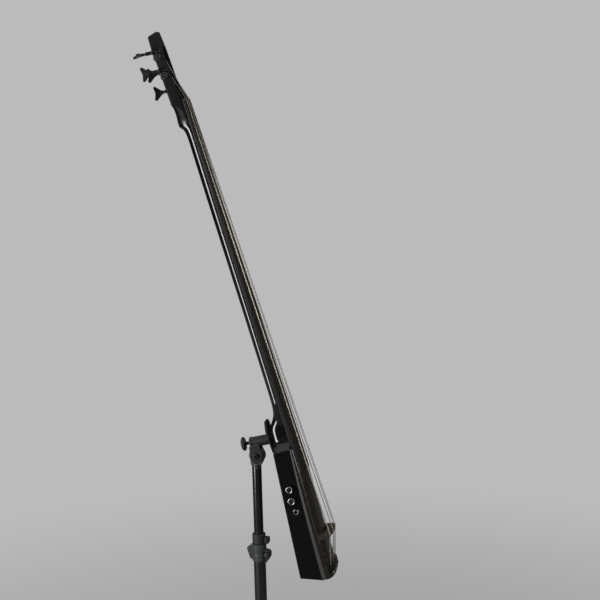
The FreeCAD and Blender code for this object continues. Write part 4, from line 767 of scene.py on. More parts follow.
def paint_turned(o, frame, base, accent, is_accent):
    """Two finishes on a turned form; is_accent takes a face's (radius, height)."""
    inverse = frame.inverted()

    def test(face):
        center = inverse @ face.center
        return is_accent(math.hypot(center.x, center.y), center.z)

    paint(o, base, accent, test)


def soft_copy(node, name, voxel, smoothing, angle=60):
    """A CAD node remade with cast, rounded edges."""
    mesh = cad["nodes"][node].data
    o = mesh_object(name, [tuple(v.co * 1000.0) for v in mesh.vertices],
                    [tuple(face.vertices) for face in mesh.polygons])
    fix_normals(o)
    place(remesh(o, voxel, smoothing), node, angle)


def cast(name, node, parts, cutters, blend=(0.6, 4), skin=(0.51, 4), angle=60):
    """Parts melted together, cut, and melted again; blend and skin are (voxel, smoothing)."""
    o = remesh(join(parts, name), *blend)
    boolean(o, cutters)
    place(remesh(o, *skin), node, angle)


# every CAD node gets its finish first
for cad_name, cad_object in cad["nodes"].items():
    cad_object.data.materials.clear()
    cad_object.data.materials.append(MAT[SLOT_OF[cad_name]])

# ------------------------------------------------------------------ neck, head, volute and heel
HEAD_HALF = 23.0
HEAD_TIP_FRONT = 18.3                   # depth of the head's front face at its tip
TIP_SLANT = 0.226                       # the tip's end face runs down by this per depth
LOOP_POINTS = 112
# (distance below the nut, depth)
HEAD_BACK = [(-167.5, 42.6), (-162.0, 42.6), (-110.0, 40.6), (-59.0, 38.6), (12.0, 37.9),
             (30.0, 38.7), (46.0, 40.0), (52.0, 39.7), (56.0, 38.0), (60.5, 33.8),
             (66.0, 31.0), (75.0, 29.0), (90.0, 28.2)]
HEAD_FRONT = [(-167.5, HEAD_TIP_FRONT), (-100.0, 16.6), (-43.0, 15.1), (-31.0, 12.4),
              (-20.0, 8.4), (-11.0, 5.0), (-3.0, 3.4)]
# (distance below the nut, half width beyond the board, back depth, squareness)
NECK = [(90.0, 0.0, 28.2, 2.3), (200.0, 0.0, 29.6, 2.3), (290.0, 0.0, 30.4, 2.3),
        (478.0, 0.0, 31.4, 2.3), (640.0, 0.0, 33.0, 2.3), (710.0, 0.0, 34.0, 2.3),
        (730.0, 0.0, 34.6, 2.35), (745.0, -2.5, 36.4, 2.4), (757.0, -6.0, 39.3, 2.5),
        (766.0, -9.0, 43.2, 2.7), (774.0, -11.0, 48.2, 3.0), (781.0, -12.0, 53.4, 3.4),
        (787.0, -12.5, 57.0, 3.9), (794.0, -12.5, 58.0, 4.4), (806.0, -12.3, 58.1, 4.8),
        (816.0, -11.0, 58.4, 5.4), (824.0, -8.0, 58.6, 6.2), (831.0, -3.0, 58.8, 7.4),
        (837.0, 3.4, 59.0, 9.0),
        (BODY_TOP, 50.0 - board_half(BODY_TOP) - 0.2, BACK_DEPTH_TOP, 12.0)]
NECK_EXTRA, NECK_BACK, NECK_SQUARE = ([(row[0], row[i]) for row in NECK] for i in (1, 2, 3))
# carved flank behind the nut: (distance below the nut, half width or squareness)
SCOOP_HALF = [(-4.0, 30.0), (0.0, 27.0), (4.8, 24.5), (9.2, 23.5), (24.6, 22.75),
              (50.0, 22.35), (90.0, board_half(90.0) - 0.4)]
SCOOP_SQUARE = [(-4.0, 12.0), (0.0, 8.0), (4.8, 5.0), (9.2, 2.85), (24.6, 2.35),
                (50.0, 2.3), (90.0, 2.3)]
# string posts: (distance below the nut, depth, side of the gear)
POSTS = {"a": (-111.0, 29.6, -1), "d": (-89.0, 28.6, 1),
         "e": (-67.0, 27.4, -1), "g": (-45.0, 26.4, 1)}


def head_half(down):
    if down < -128.0:
        return 14.0 + 9.0 * (down + 167.5) / 39.5
    return HEAD_HALF


def squircle(theta, width, to_back, to_front, back_square, front_square):
    """Radius at theta of a closed form with its own reach and squareness on each face."""
    if math.sin(theta) >= 0:
        reach, square = to_back, back_square
    else:
        reach, square = to_front, front_square
    c, s = abs(math.cos(theta)), abs(math.sin(theta))
    return ((c / width) ** square + (s / max(reach, 1e-6)) ** square) ** (-1.0 / square)


def head_section(down):
    """(x, depth) loop of the head, the nut region and the volute."""
    back = smooth(HEAD_BACK, down)
    if down > -3.0:
        front = 3.4 + (glue_depth(down) - 3.4) * ease(-3.0, 2.6, down)
    else:
        front = smooth(HEAD_FRONT, down)
    below_nut = ease(-3.0, 30.0, down)
    middle = front + (back - front) * (0.5 * (1 - below_nut) + 0.012 * below_nut)
    scooped = down > -4.0
    scoop_half = smooth(SCOOP_HALF, down) if scooped else 60.0
    scoop_square = smooth(SCOOP_SQUARE, down) if scooped else 12.0
    blend = 0.25
    points = []
    for k in range(LOOP_POINTS):
        theta = 2 * math.pi * (k + 0.5) / LOOP_POINTS
        box = squircle(theta, head_half(down), back - middle, middle - front, 11.0,
                       11.0 if down < 20 else 9.0)
        scoop = squircle(theta, scoop_half, back - middle, middle - front, scoop_square, 9.0)
        overlap = max(blend - abs(box - scoop), 0.0) / blend
        radius = min(box, scoop) - overlap * overlap * blend * 0.25
        x, deep = radius * math.cos(theta), middle + radius * math.sin(theta)
        # the front narrows to the fingerboard beside the nut
        narrowing = HEAD_HALF - board_half(max(down, 0.0)) + 0.05
        limit = HEAD_HALF - narrowing * ease(-15.0, -4.0, down) * ease(12.0, 9.6, deep)
        if abs(x) > limit:
            x = math.copysign(limit, x)
        points.append((x, deep))
    return points


def neck_section(down):
    """(x, depth) loop of the neck and the heel."""
    width = board_half(down) - 0.4 + smooth(NECK_EXTRA, down)
    back = smooth(NECK_BACK, down)
    square = smooth(NECK_SQUARE, down)
    front = glue_depth(down)
    middle = front + (back - front) * 0.012
    points = []
    for k in range(LOOP_POINTS):
        theta = 2 * math.pi * (k + 0.5) / LOOP_POINTS
        radius = squircle(theta, width, back - middle, middle - front, square, 9.0)
        points.append((radius * math.cos(theta), middle + radius * math.sin(theta)))
    return points


def head_slot():
    """Cutter for the open string slot, with a sloping floor."""
    half_outline = [(17.6, -6.0), (15.0, -24.0), (15.0, -118.0), (8.0, -131.0)]
    outline = [(-17.6, -6.0)] + half_outline + [(-x, down) for x, down in half_outline[:0:-1]]
    slot = prism([(x, -down) for x, down in outline], -40.0, 60.0,
                 basis(NUT, ACROSS, ALONG, -DEEP))
    floor = prism([(-2.0, -40.0), (-2.0, 33.9), (-140.0, 39.1), (-140.0, -40.0)],
                  -40.0, 40.0, SIDE_FRAME)
    return boolean(slot, [floor], "INTERSECT")


def build_neck():
    rows = (list(np.arange(-166.0, -16.0, 3.0)) + list(np.arange(-16.0, 92.0, 1.0))
            + list(np.arange(92.0, 730.0, 7.0)) + list(np.arange(730.0, 842.5, 1.25))
            + [BODY_TOP + 1.0])
    loops = []
    # rounded rim of the tip: (inset, distance below the end face)
    for inset, below in ((2.6, 0.0), (1.5, 0.15), (0.7, 0.55), (0.2, 1.1)):
        loop = []
        for x, deep in head_section(-166.0):
            reach = math.hypot(x, deep - 30.0)
            shrink = (reach - inset) / reach
            deep = 30.0 + (deep - 30.0) * shrink
            down = -167.6 + below + (deep - HEAD_TIP_FRONT) * TIP_SLANT
            loop.append(on_lean(x * shrink, down, deep))
        loops.append(loop)
    for down in rows:
        slant = TIP_SLANT * ease(-120.0, -164.0, down)
        section = head_section if down < 92.0 else neck_section
        loops.append([on_lean(x, down + (deep - HEAD_TIP_FRONT) * slant, deep)
                      for x, deep in section(min(down, BODY_TOP - 0.01))])
    neck = loft(loops, "neck_with_head")
    cutters = [head_slot()]
    for down, deep, side in POSTS.values():
        frame = axis_frame(on_lean(0, down, deep), ACROSS * side, ALONG)
        cutters.append(rod(frame, 5.05, -21.0, 60.0, seg=48))
    place(boolean(neck, cutters), "neck_and_head", angle=38)


build_neck()

# ------------------------------------------------------------------ fingerboard
CROWN_RADIUS = 92.0


def build_fingerboard():
    """Crowned strip with a flat glue face; insets ease both ends."""
    insets = {2.0: 0.5, 2.3: 0.15, 904.3: 0.15, 904.85: 0.5, 905.0: 1.0}
    rows = [2.0, 2.3, 3.0] + list(np.arange(12.0, 900.0, 12.0)) + [903.0, 904.3, 904.85, 905.0]
    arc_steps = 28
    loops = []
    for down in rows:
        inset = insets.get(down, 0.0)
        width = board_half(down) - inset
        glue = glue_depth(down)
        section = []
        for k in range(arc_steps + 1):
            x = -width + 2 * width * k / arc_steps
            section.append((x, CROWN_RADIUS - math.sqrt(CROWN_RADIUS ** 2 - x * x) + inset))
        section += [(width, glue), (-width, glue)]
        section = fillet(section, 1.1, closed=True)
        loops.append([on_lean(x, down, min(deep, glue)) for x, deep in section])
    place(loft(loops, "fingerboard_ebony"), "fingerboard", angle=40)


build_fingerboard()

# ------------------------------------------------------------------ carved top
END_EDGE = lerp(SIDE_EDGE, BODY_END)
END_SLOPE = (BODY_END - BACK_END) / (BACK_DEPTH_END - END_EDGE)
TOP_STATIONS = (820.0, BODY_TOP, 874.0, 905.0, 943.0, 975.0, 1006.0, 1043.0, 1100.0, 1150.0,
                1190.0)
TOP_EDGE = [(down, lerp(SIDE_EDGE, down)) for down in TOP_STATIONS]
TOP_CROWN = [(down, lerp(CROWN, down)) for down in TOP_STATIONS]
ARCH_STEPS = 84
TOP_ROWS = 96


def end_down(deep):
    """Distance below the nut of the slanting end face."""
    return BODY_END + (END_EDGE - deep) * END_SLOPE


def top_point(down, k):
    """Place across and depth of column k of the carved front."""
    side_depth = smooth(TOP_EDGE, down)
    if k in (0, ARCH_STEPS + 2):
        return (-body_half(down) if k == 0 else body_half(down)), side_depth
    width = body_half(down) - lerp(BEVEL_WIDTH, down)
    edge = side_depth - lerp(BEVEL_DEPTH, down)
    t = math.pi * (1 - (k - 1) / ARCH_STEPS)
    x = width * math.copysign(abs(math.cos(t)) ** 0.8, math.cos(t))
    return x, edge - (edge - smooth(TOP_CROWN, down)) * abs(math.sin(t)) ** 0.8


def top_column(k):
    """(x, down, depth) points down column k and round onto the end face."""
    end = 1165.0
    for _ in range(12):
        end = end_down(top_point(end, k)[1])
    end_x, end_depth = top_point(end, k)
    rounding = min(5.0, max(0.0, END_EDGE - end_depth) * 0.8)
    column = []
    for i in range(TOP_ROWS + 1):
        down = BODY_TOP + 0.05 + (end - rounding - BODY_TOP - 0.05) * i / TOP_ROWS
        x, deep = top_point(down, k)
        column.append((x, down, deep))
    start = np.array(column[-1])
    corner = np.array((end_x, end, end_depth))
    low = end_depth + rounding
    stop = np.array((end_x, end_down(low), low))
    for i in range(1, 8):
        column.append(tuple(bezier(start, corner, stop, i / 7)))
    return column


def build_top():
    columns = [top_column(k) for k in range(ARCH_STEPS + 3)]
    top = loft([[on_lean(*point) for point in row] for row in zip(*columns)],
               "carved_top_figured")
    # slot for the fingerboard's end
    loops = []
    for down in (790.0, 906.4):
        width, floor = board_half(down) + 0.15, glue_depth(down) + 0.03
        loops.append([on_lean(x, down, deep) for x, deep in
                      ((-width, -60.0), (width, -60.0), (width, floor), (-width, floor))])
    boolean(top, [loft(loops)])
    inverse = LEAN_FRAME.inverted()
    rotation = inverse.to_3x3()

    def on_bevel(face):
        center = inverse @ face.center
        down, x = -center.z, abs(center.x)
        inner = body_half(down) - lerp(BEVEL_WIDTH, down)
        return (inner - 0.02 < x < body_half(down) + 0.5
                and abs((rotation @ face.normal).z) < 0.5)

    paint(top, "top_lacquer", "edge_band", on_bevel)
    place(top, "carved_top", angle=30, painted=True)


build_top()

# ------------------------------------------------------------------ strings
POST_RADIUS = 5.0
POST_TURNS = 3.0
BRIDGE_REACH = 37.0
# node: (x at the nut, x at the bridge, x at the anchor, radius)
STRINGS = {"e_string": (-16.5, -BRIDGE_REACH, -34.0, 1.35),
           "a_string": (-5.5, -BRIDGE_REACH / 3, -11.4, 1.05),
           "d_string": (5.5, BRIDGE_REACH / 3, 11.4, 0.85),
           "g_string": (16.5, BRIDGE_REACH, 34.0, 0.65)}


def string_path(stops):
    """Points through the stops, closing in beside each inner stop to keep the bend tight."""
    points = []
    for i in range(len(stops) - 1):
        a, b = np.array(stops[i]), np.array(stops[i + 1])
        length = np.linalg.norm(b - a)
        count = max(2, int(length / 9.0))
        for k in range(count):
            t = k / count
            if i > 0:
                t = 1.2 / length + (1 - 2.4 / length) * t
            points.append(a + (b - a) * t)
        if i < len(stops) - 2:
            points.append(b - (b - a) * (1.2 / length))
            points.append(b)
    return [on_lean(*p) for p in points]


def build_string(name, nut_x, bridge_x, anchor_x, radius):
    post_down, post_depth, _ = POSTS[name[0]]
    nut_depth = (1.5 if abs(nut_x) > 10 else 0.2) - 0.6 - radius
    bridge_depth = -8.6 if abs(bridge_x) > 20 else -12.4
    anchor_depth = arch_depth(1146.0, anchor_x) - 2.75
    # the string leaves the nut at a tangent to its winds on the post
    wind = POST_RADIUS + radius * 1.07 + 0.06
    drop = post_depth - nut_depth
    distance = math.hypot(post_down, drop)
    angle = math.atan2(drop, post_down) + math.asin(wind / distance)
    length = distance * math.cos(math.asin(wind / distance))
    post_x = nut_x * 0.5
    touch_down, touch_depth = length * math.cos(angle), nut_depth + length * math.sin(angle)
    path = string_path([(anchor_x, 1159.0, anchor_depth + 0.3),
                        (anchor_x, 1136.0, anchor_depth), (bridge_x, 1067.0, bridge_depth),
                        (nut_x, 0.0, nut_depth), (post_x, touch_down, touch_depth)])
    # winds: a tight coil that walks towards the middle of the post
    side = 1 if nut_x > 0 else -1
    start = math.atan2(touch_depth - post_depth, touch_down - post_down)
    onward = -math.sin(start) * touch_down + math.cos(start) * (touch_depth - nut_depth)
    direction = 1.0 if onward > 0 else -1.0
    steps = int(POST_TURNS * 30)
    for k in range(steps + 1):
        a = start + direction * 2 * math.pi * POST_TURNS * k / steps
        path.append(on_lean(post_x - side * (k / steps) * POST_TURNS * radius * 1.95,
                            post_down + wind * math.cos(a), post_depth + wind * math.sin(a)))
    ball = rod(axis_frame(on_lean(anchor_x, 1155.0, anchor_depth + 0.3), ALONG),
               max(2.3, radius + 0.85), -4.3, -0.2, seg=28, rounding=0.5)
    o = join([round_wire(path, radius), ball], name + "_flatwound")
    place(fix_normals(o), name, angle=50)


for string_name, string_sizes in STRINGS.items():
    build_string(string_name, *string_sizes)

# ------------------------------------------------------------------ tuners
WORM_OFFSET = 11.5                      # worm axis from the post axis
WORM_OUT = 4.3                          # worm axis outside the head's cheek
GEAR_TEETH = 18
PLATE_THICKNESS = 1.9
WORM_AXIS, WORM_SIDE = turned(math.radians(6.0))
KEY_TURN = {"a": 73.0, "d": 12.0, "e": -8.0, "g": 10.0}     # degrees
# half outline of the butterfly blade: (along the worm, half width)
BLADE = [(30.6, 3.4), (34.5, 4.5), (39.5, 8.1), (44.5, 12.6), (48.6, 16.0), (51.3, 16.5),
         (53.1, 15.4), (53.6, 12.6), (52.8, 9.2), (51.7, 5.6), (51.1, 2.6), (51.0, 0.0)]


def tuner_place(key):
    """Post centre, side, direction from post to worm, and worm place at mid head."""
    down, deep, side = POSTS[key]
    center = on_lean(0, down, deep)
    way = 1 if side < 0 else -1
    return center, side, way, center + WORM_SIDE * (WORM_OFFSET * way)


def tuner_plate(side, way, worm_mid, worm):
    """Plate on the cheek, two bearing lugs and the barrel round the key shaft."""
    frame = basis(worm_mid, WORM_AXIS, WORM_SIDE * way, ACROSS * side)
    low = -WORM_OFFSET - 8.5
    outline = fillet([(-9.0, low), (12.0, low), (12.0, 5.0), (-9.0, 5.0)], 3.2, True, 5)
    parts = [prism(outline, HEAD_HALF, HEAD_HALF + PLATE_THICKNESS, frame, 0.35, 2)]
    for a, b in ((-10.5, -7.5), (8.4, 12.0)):
        parts.append(prism([(a, -4.6), (b, -4.6), (b, 5.0), (a, 5.0)],
                           HEAD_HALF, HEAD_HALF + 8.6, frame, 0.7))
    barrel = [(2.3, 8.4), (4.2, 8.4), (4.2, 12.6), (3.8, 13.2), (3.8, 14.2), (4.2, 14.8),
              (4.2, 27.2), (3.4, 28.0), (2.3, 28.0), (2.3, 8.4)]
    parts.append(lathe(barrel, axis_frame(worm, WORM_AXIS), 48, 0.35))
    return parts


def gear_tooth(theta, radius, height):
    if radius > 7.0:
        phase = (theta * GEAR_TEETH / (2 * math.pi)) % 1.0
        return radius - 1.0 + ease(0.08, 0.26, phase) * (1 - ease(0.52, 0.70, phase))
    return radius


def build_post(key, center, side):
    """Post through the head with its gear wheel and slotted cap screw."""
    inside = [(0, -(HEAD_HALF - 2.3)), (4.5, -(HEAD_HALF - 2.3)),
              (POST_RADIUS, -(HEAD_HALF - 2.8)), (POST_RADIUS, -8.0), (4.7, -4.0), (4.7, 8.0),
              (POST_RADIUS, 12.0)]
    # gear and cap: (radius, height outside the cheek)
    outside = [(POST_RADIUS, 2.2), (8.6, 2.2), (9.0, 2.5), (9.0, 6.0), (8.6, 6.4), (6.6, 6.4),
               (6.3, 6.15), (4.5, 6.15), (4.2, 6.4), (4.2, 7.1), (3.6, 7.6), (0, 7.6)]
    post = lathe(inside + [(radius, HEAD_HALF + z) for radius, z in outside],
                 axis_frame(center, ACROSS * side, ALONG), 216, radius_at=gear_tooth,
                 name="post_%s_geared" % key)
    slot = prism([(-6, -0.6), (6, -0.6), (6, 0.6), (-6, 0.6)], HEAD_HALF + 6.6, HEAD_HALF + 9.0,
                 axis_frame(center, ACROSS * side, DEEP + ALONG * 0.35))
    place(boolean(post, [slot]), "post_" + key)


def worm_thread(theta, radius, height):
    if abs(radius - 2.4) < 1e-6:
        return 2.0 + 0.4 * abs(math.sin(theta / 2 + height * math.pi / 3.0))
    return radius


def blade_outline():
    """Closed Catmull-Rom curve through the mirrored blade outline."""
    stops = [(u, -v) for u, v in BLADE] + [(u, v) for u, v in BLADE[-2::-1]]
    curve = []
    for i in range(len(stops)):
        p0, p1, p2, p3 = [np.array(stops[(i + k) % len(stops)]) for k in (-1, 0, 1, 2)]
        for t in (0.0, 0.25, 0.5, 0.75):
            curve.append(tuple(0.5 * ((2 * p1) + (p2 - p0) * t
                                      + (2 * p0 - 5 * p1 + 4 * p2 - p3) * t * t
                                      + (3 * p1 - p0 - 3 * p2 + p3) * t ** 3)))
    return curve


def build_key(key, way, worm):
    """Threaded worm shaft with a butterfly blade turned about it."""
    profile = ([(0, -11.0), (1.9, -11.0), (2.2, -10.6), (2.2, -7.0)]
               + [(2.4, -7.0 + 0.3 * k) for k in range(50)]
               + [(2.2, 8.0), (2.2, 30.2), (3.0, 30.2), (3.3, 30.6), (3.3, 37.0), (2.6, 38.2),
                  (0, 38.2)])
    shaft = lathe(profile, axis_frame(worm, WORM_AXIS), 40, radius_at=worm_thread)
    turn = Matrix.Rotation(math.radians(KEY_TURN[key]), 4, Vector(WORM_AXIS))
    frame = basis(worm, WORM_AXIS, turn @ Vector(WORM_SIDE * way), turn @ Vector(ACROSS))
    blade = prism(blade_outline(), -2.3, 2.3, frame)
    o = fix_normals(join([shaft, blade], "tuner_key_%s_worn" % key))
    place(remesh(o, 0.32, 7), "tuner_key_" + key, angle=60)


plates = []
for post_key in POSTS:
    post_center, post_side, post_way, worm_middle = tuner_place(post_key)
    worm_center = worm_middle + ACROSS * (post_side * (HEAD_HALF + WORM_OUT))
    plates += tuner_plate(post_side, post_way, worm_middle, worm_center)
    build_post(post_key, post_center, post_side)
    build_key(post_key, post_way, worm_center)
place(join(plates, "tuner_plates_black"), "tuner_brackets")

# ------------------------------------------------------------------ control knobs
KNOB_RADIUS = 8.6
KNOB_HEIGHT = 11.0
KNOB_FLUTES = 36


def flute(theta, radius, height):
    if radius > KNOB_RADIUS - 0.9 and 1.2 < height < KNOB_HEIGHT - 2.2:
        return radius - 0.22 * (0.5 + 0.5 * math.cos(theta * KNOB_FLUTES))
    return radius


def build_control_knob(name, down, deep):
    """Fluted knob on the -X side with a dished face and a bright rim."""
    frame = axis_frame(on_lean(-(body_half(down) + 1.9), down, deep), -ACROSS, ALONG)
    stem = [(0.0, -16.0), (3.0, -16.0), (3.0, 0.0), (KNOB_RADIUS - 0.6, 0.0),
            (KNOB_RADIUS, 0.7)]
    wall = [(KNOB_RADIUS - 0.05 * k / 6, 1.3 + (KNOB_HEIGHT - 3.6) * k / 6) for k in range(7)]
    # rim and dish: (inside the radius, below the face)
    rim = [(0.1, 2.0), (0.45, 0.9), (1.0, 0.25), (1.7, 0.0), (2.5, 0.35), (3.0, 1.0),
           (3.5, 1.7), (4.6, 2.0), (KNOB_RADIUS - 2.0, 1.8), (KNOB_RADIUS, 1.75)]
    rim = [(KNOB_RADIUS - inset, KNOB_HEIGHT - below) for inset, below in rim]
    o = lathe(stem + wall + rim, frame, 144, radius_at=flute, name=name + "_dished")
    paint_turned(o, frame, "knob_black", "worn_ring",
                 lambda radius, height: (height > KNOB_HEIGHT - 1.35
                                         and KNOB_RADIUS - 3.1 < radius < KNOB_RADIUS - 0.35))
    place(o, name, angle=28, painted=True)


build_control_knob("volume_knob", 931.5, 45.1)
build_control_knob("tone_knob", 959.0, 48.4)

# ------------------------------------------------------------------ bracket head
PIVOT_Z = 847.0
PIVOT = on_pole(0, -PIVOT_FORWARD, PIVOT_Z)
MOUNT = on_lean(0, 815.6, 57.0)
MOUNT_AXIS, SHIELD_UP = turned(math.radians(4.0))
SHIELD_START = 7.6                      # distances from the mount along its axis
BOSS_END = 60.5


def build_bracket():
    """Shield plate, boss along the mount axis, and two ears round the pivot."""
    to_pivot = PIVOT - NUT
    down, deep = -float(to_pivot @ ALONG), float(to_pivot @ DEEP)
    # local Z of the shield points back along the mount axis
    shield_frame = basis(MOUNT, ACROSS, SHIELD_UP, np.cross(ACROSS, SHIELD_UP))
    boss_frame = axis_frame(MOUNT, MOUNT_AXIS, ACROSS)
    shield = [(-14.0, 46.0), (14.0, 46.0), (22.0, 38.0), (24.5, 26.0), (22.0, 4.0),
              (9.0, -27.0), (5.0, -36.5), (-5.0, -36.5), (-9.0, -27.0), (-22.0, 4.0),
              (-24.5, 26.0)]
    boss = [(0, SHIELD_START), (12.5, SHIELD_START), (12.5, BOSS_END - 6.0),
            (13.4, BOSS_END - 6.0), (13.4, BOSS_END), (0, BOSS_END)]
    ear_angles = [math.radians(a) for a in range(-30, 181, 6)]
    ear = ([(down - 24.0, deep + 11.0)]
           + [(down + 15.8 * math.sin(a), deep + 15.8 * math.cos(a)) for a in ear_angles]
           + [(down - 8.0, deep - 15.9), (down - 24.0, deep - 14.0)])
    web = [(down - 26.0, deep + 10.0), (down - 20.5, deep + 10.8),
           (down - 20.5, deep - 14.2), (down - 26.0, deep - 13.0)]
    parts = [prism(fillet(shield, 5.0, True, 6), -(SHIELD_START + 4.6), -SHIELD_START,
                   shield_frame),
             lathe(boss, boss_frame, 128, 0.3),
             prism(ear, -13.2, -7.2, SIDE_FRAME),
             prism(ear, 7.2, 13.2, SIDE_FRAME),
             prism(web, -13.2, 13.2, SIDE_FRAME)]
    cutters = [rod(axis_frame(PIVOT, ACROSS, ALONG), 20.4, -7.2, 7.2, seg=128),
               rod(boss_frame, 4.3, SHIELD_START - 3, BOSS_END + 3, seg=48)]
    cast("bracket_cast", "stand_head", parts, cutters, blend=(0.75, 2), skin=(0.6, 5), angle=70)


build_bracket()

# ------------------------------------------------------------------ mounting knob
GRIP_RADIUS = 16.6
GRIP_THICKNESS = 8.5
SCALLOPS = 10
SCALLOP_RADIUS = 2.6


def scallop(theta, radius, height):
    if radius <= 12.0 or height <= 0.5:
        return radius
    reach = GRIP_RADIUS + 1.6
    for k in range(SCALLOPS):
        offset = (theta - 2 * math.pi * k / SCALLOPS + math.pi) % (2 * math.pi) - math.pi
        side = reach * math.sin(offset)
        if abs(side) < SCALLOP_RADIUS and abs(offset) < 1.0:
            radius = min(radius, reach * math.cos(offset)
                         - math.sqrt(SCALLOP_RADIUS ** 2 - side * side))
    return radius


def build_mounting_knob():
    """Long screw with a scalloped grip."""
    frame = axis_frame(MOUNT + MOUNT_AXIS * 73.0, MOUNT_AXIS, ACROSS)
    r, top = GRIP_RADIUS, GRIP_THICKNESS
    profile = [(0, -86.0), (4.0, -86.0), (4.0, -24.0), (4.0, 0.0), (7.5, 0.0), (8.0, 1.5),
               (r - 1.6, 1.5), (r - 0.5, 1.9), (r, 2.9), (r - 0.05, 4.2), (r - 0.4, 5.8),
               (r - 1.2, top - 1.4), (r - 2.4, top - 0.7), (r - 4.0, top - 0.35),
               (10.0, top - 0.1), (7.4, top), (6.8, top - 0.5), (0.0, top - 0.6)]
    o = lathe(profile, frame, 300, radius_at=scallop, name="mounting_grip")
    paint_turned(o, frame, "grip_plastic", "black_screws",
                 lambda radius, height: height < -0.05 and radius < 4.4)
    place(o, "mounting_knob", angle=40, painted=True)


build_mounting_knob()

# ------------------------------------------------------------------ pole
UPPER_RADIUS = 11.4
LOWER_RADIUS = 14.6
TUBE_WALL = 1.5
UPPER_TOP = 822.0


def build_tube(name, node, radius, low, high):
    bore = radius - TUBE_WALL
    profile = ([(bore, low), (radius - 0.3, low), (radius, low + 0.3)]
               + [(radius, z) for z in np.arange(low + 10.0, high - 2.0, 15.0)]
               + [(radius, high - 0.4), (radius - 0.4, high), (bore, high), (bore, low)])
    place(lathe(profile, POLE_FRAME, 128, name=name), node, angle=40)


build_tube("upper_tube_gloss", "upper_tube", UPPER_RADIUS, 300.0, UPPER_TOP)
build_tube("lower_tube_satin", "lower_tube", LOWER_RADIUS, 96.0, 590.0)

PIVOT_FRAME = axis_frame(PIVOT, ACROSS, (0, 0, 1))
CROSS_SCREW_FRAME = cross_frame(-6.0, UPPER_TOP - 5.5)


def build_tongue():
    """Rounded tongue round the pivot, on a plug in the upper tube."""
    tongue = ([(11.4, UPPER_TOP + 0.1), (13.2, UPPER_TOP + 3.0)]
              + arc(-PIVOT_FORWARD, PIVOT_Z, 19.4, range(-32, 213, 5))
              + [(-13.6, UPPER_TOP + 3.0), (-11.4, UPPER_TOP + 0.1)])
    parts = [prism(tongue, -7.0, 7.0, POLE_SIDE),
             rod(POLE_FRAME, UPPER_RADIUS + 0.2, UPPER_TOP, UPPER_TOP + 6.0, seg=96),
             rod(POLE_FRAME, UPPER_RADIUS - 1.55, UPPER_TOP - 34.0, UPPER_TOP + 2.0, seg=96)]
    cutters = [rod(PIVOT_FRAME, 4.0, -30, 30, seg=48),
               rod(PIVOT_FRAME, 16.6, 7.0, 30.0, seg=96),
               rod(PIVOT_FRAME, 16.6, -30.0, -7.0, seg=96),
               rod(CROSS_SCREW_FRAME, 2.0, -30, 30, seg=32)]
    cast("tongue_cast", "tube_tongue", parts, cutters, blend=(0.6, 1), skin=(0.5, 5), angle=70)


def build_tilt_bolt():
    """Socket-head bolt with a hex nut."""
    bolt = lathe([(0, -17.6), (5.6, -17.6), (6.3, -17.3), (6.6, -16.6), (6.6, -13.6),
                  (6.3, -13.4), (4.0, -13.4), (4.0, 18.6), (3.6, 19.2), (0, 19.2)], PIVOT_FRAME)
    boolean(bolt, [prism(hexagon(3.2), -18.4, -15.0, PIVOT_FRAME)])
    nut = prism(hexagon(7.2), 13.4, 18.4, PIVOT_FRAME, 0.5)
    place(join([bolt, nut], "tilt_bolt_socket"), "tilt_bolt")


def build_cross_screw():
    """Pan-head screw with a cross recess."""
    screw = lathe([(0, -15.4), (3.0, -15.3), (4.9, -14.8), (6.1, -13.8), (6.4, -12.8),
                   (6.4, -11.8), (6.2, -11.5), (2.0, -11.5), (2.0, 10.0), (0, 10.0)],
                  CROSS_SCREW_FRAME, name="cross_screw_panhead")
    recess = [prism([(-a, -b), (a, -b), (a, b), (-a, b)], -16.0, -14.0, CROSS_SCREW_FRAME)
              for a, b in ((3.4, 0.6), (0.6, 3.4))]
    place(boolean(screw, recess), "cross_screw")


build_tongue()
build_tilt_bolt()
build_cross_screw()

# ------------------------------------------------------------------ collar and clamp
COLLAR_KNOB = (-20.8, 636.0)            # (y from the pole, z) of each knob's screw
CLAMP_KNOB = (-23.0, 602.0)


def build_stop_collar():
    """Split ring round the upper tube with a lug in front."""
    lug = [(-26.0, 628.6), (-26.0, 643.6), (-14.0, 643.6), (-14.0, 628.6)]
    parts = [rod(POLE_FRAME, 16.0, 628.0, 652.0, seg=128, rounding=1.6),
             prism(fillet(lug, 4.0, True, 6), -7.0, 7.0, POLE_SIDE)]
    split = [(-30.0, 626.0), (-10.0, 626.0), (-10.0, 667.0), (-30.0, 667.0)]
    cutters = [rod(POLE_FRAME, UPPER_RADIUS + 0.02, 620.0, 660.0, seg=128),
               prism(split, -0.8, 0.8, POLE_SIDE),
               rod(cross_frame(*COLLAR_KNOB), 2.6, -20, 20, seg=40)]
    cast("stop_collar_moulded", "stop_collar", parts, cutters)


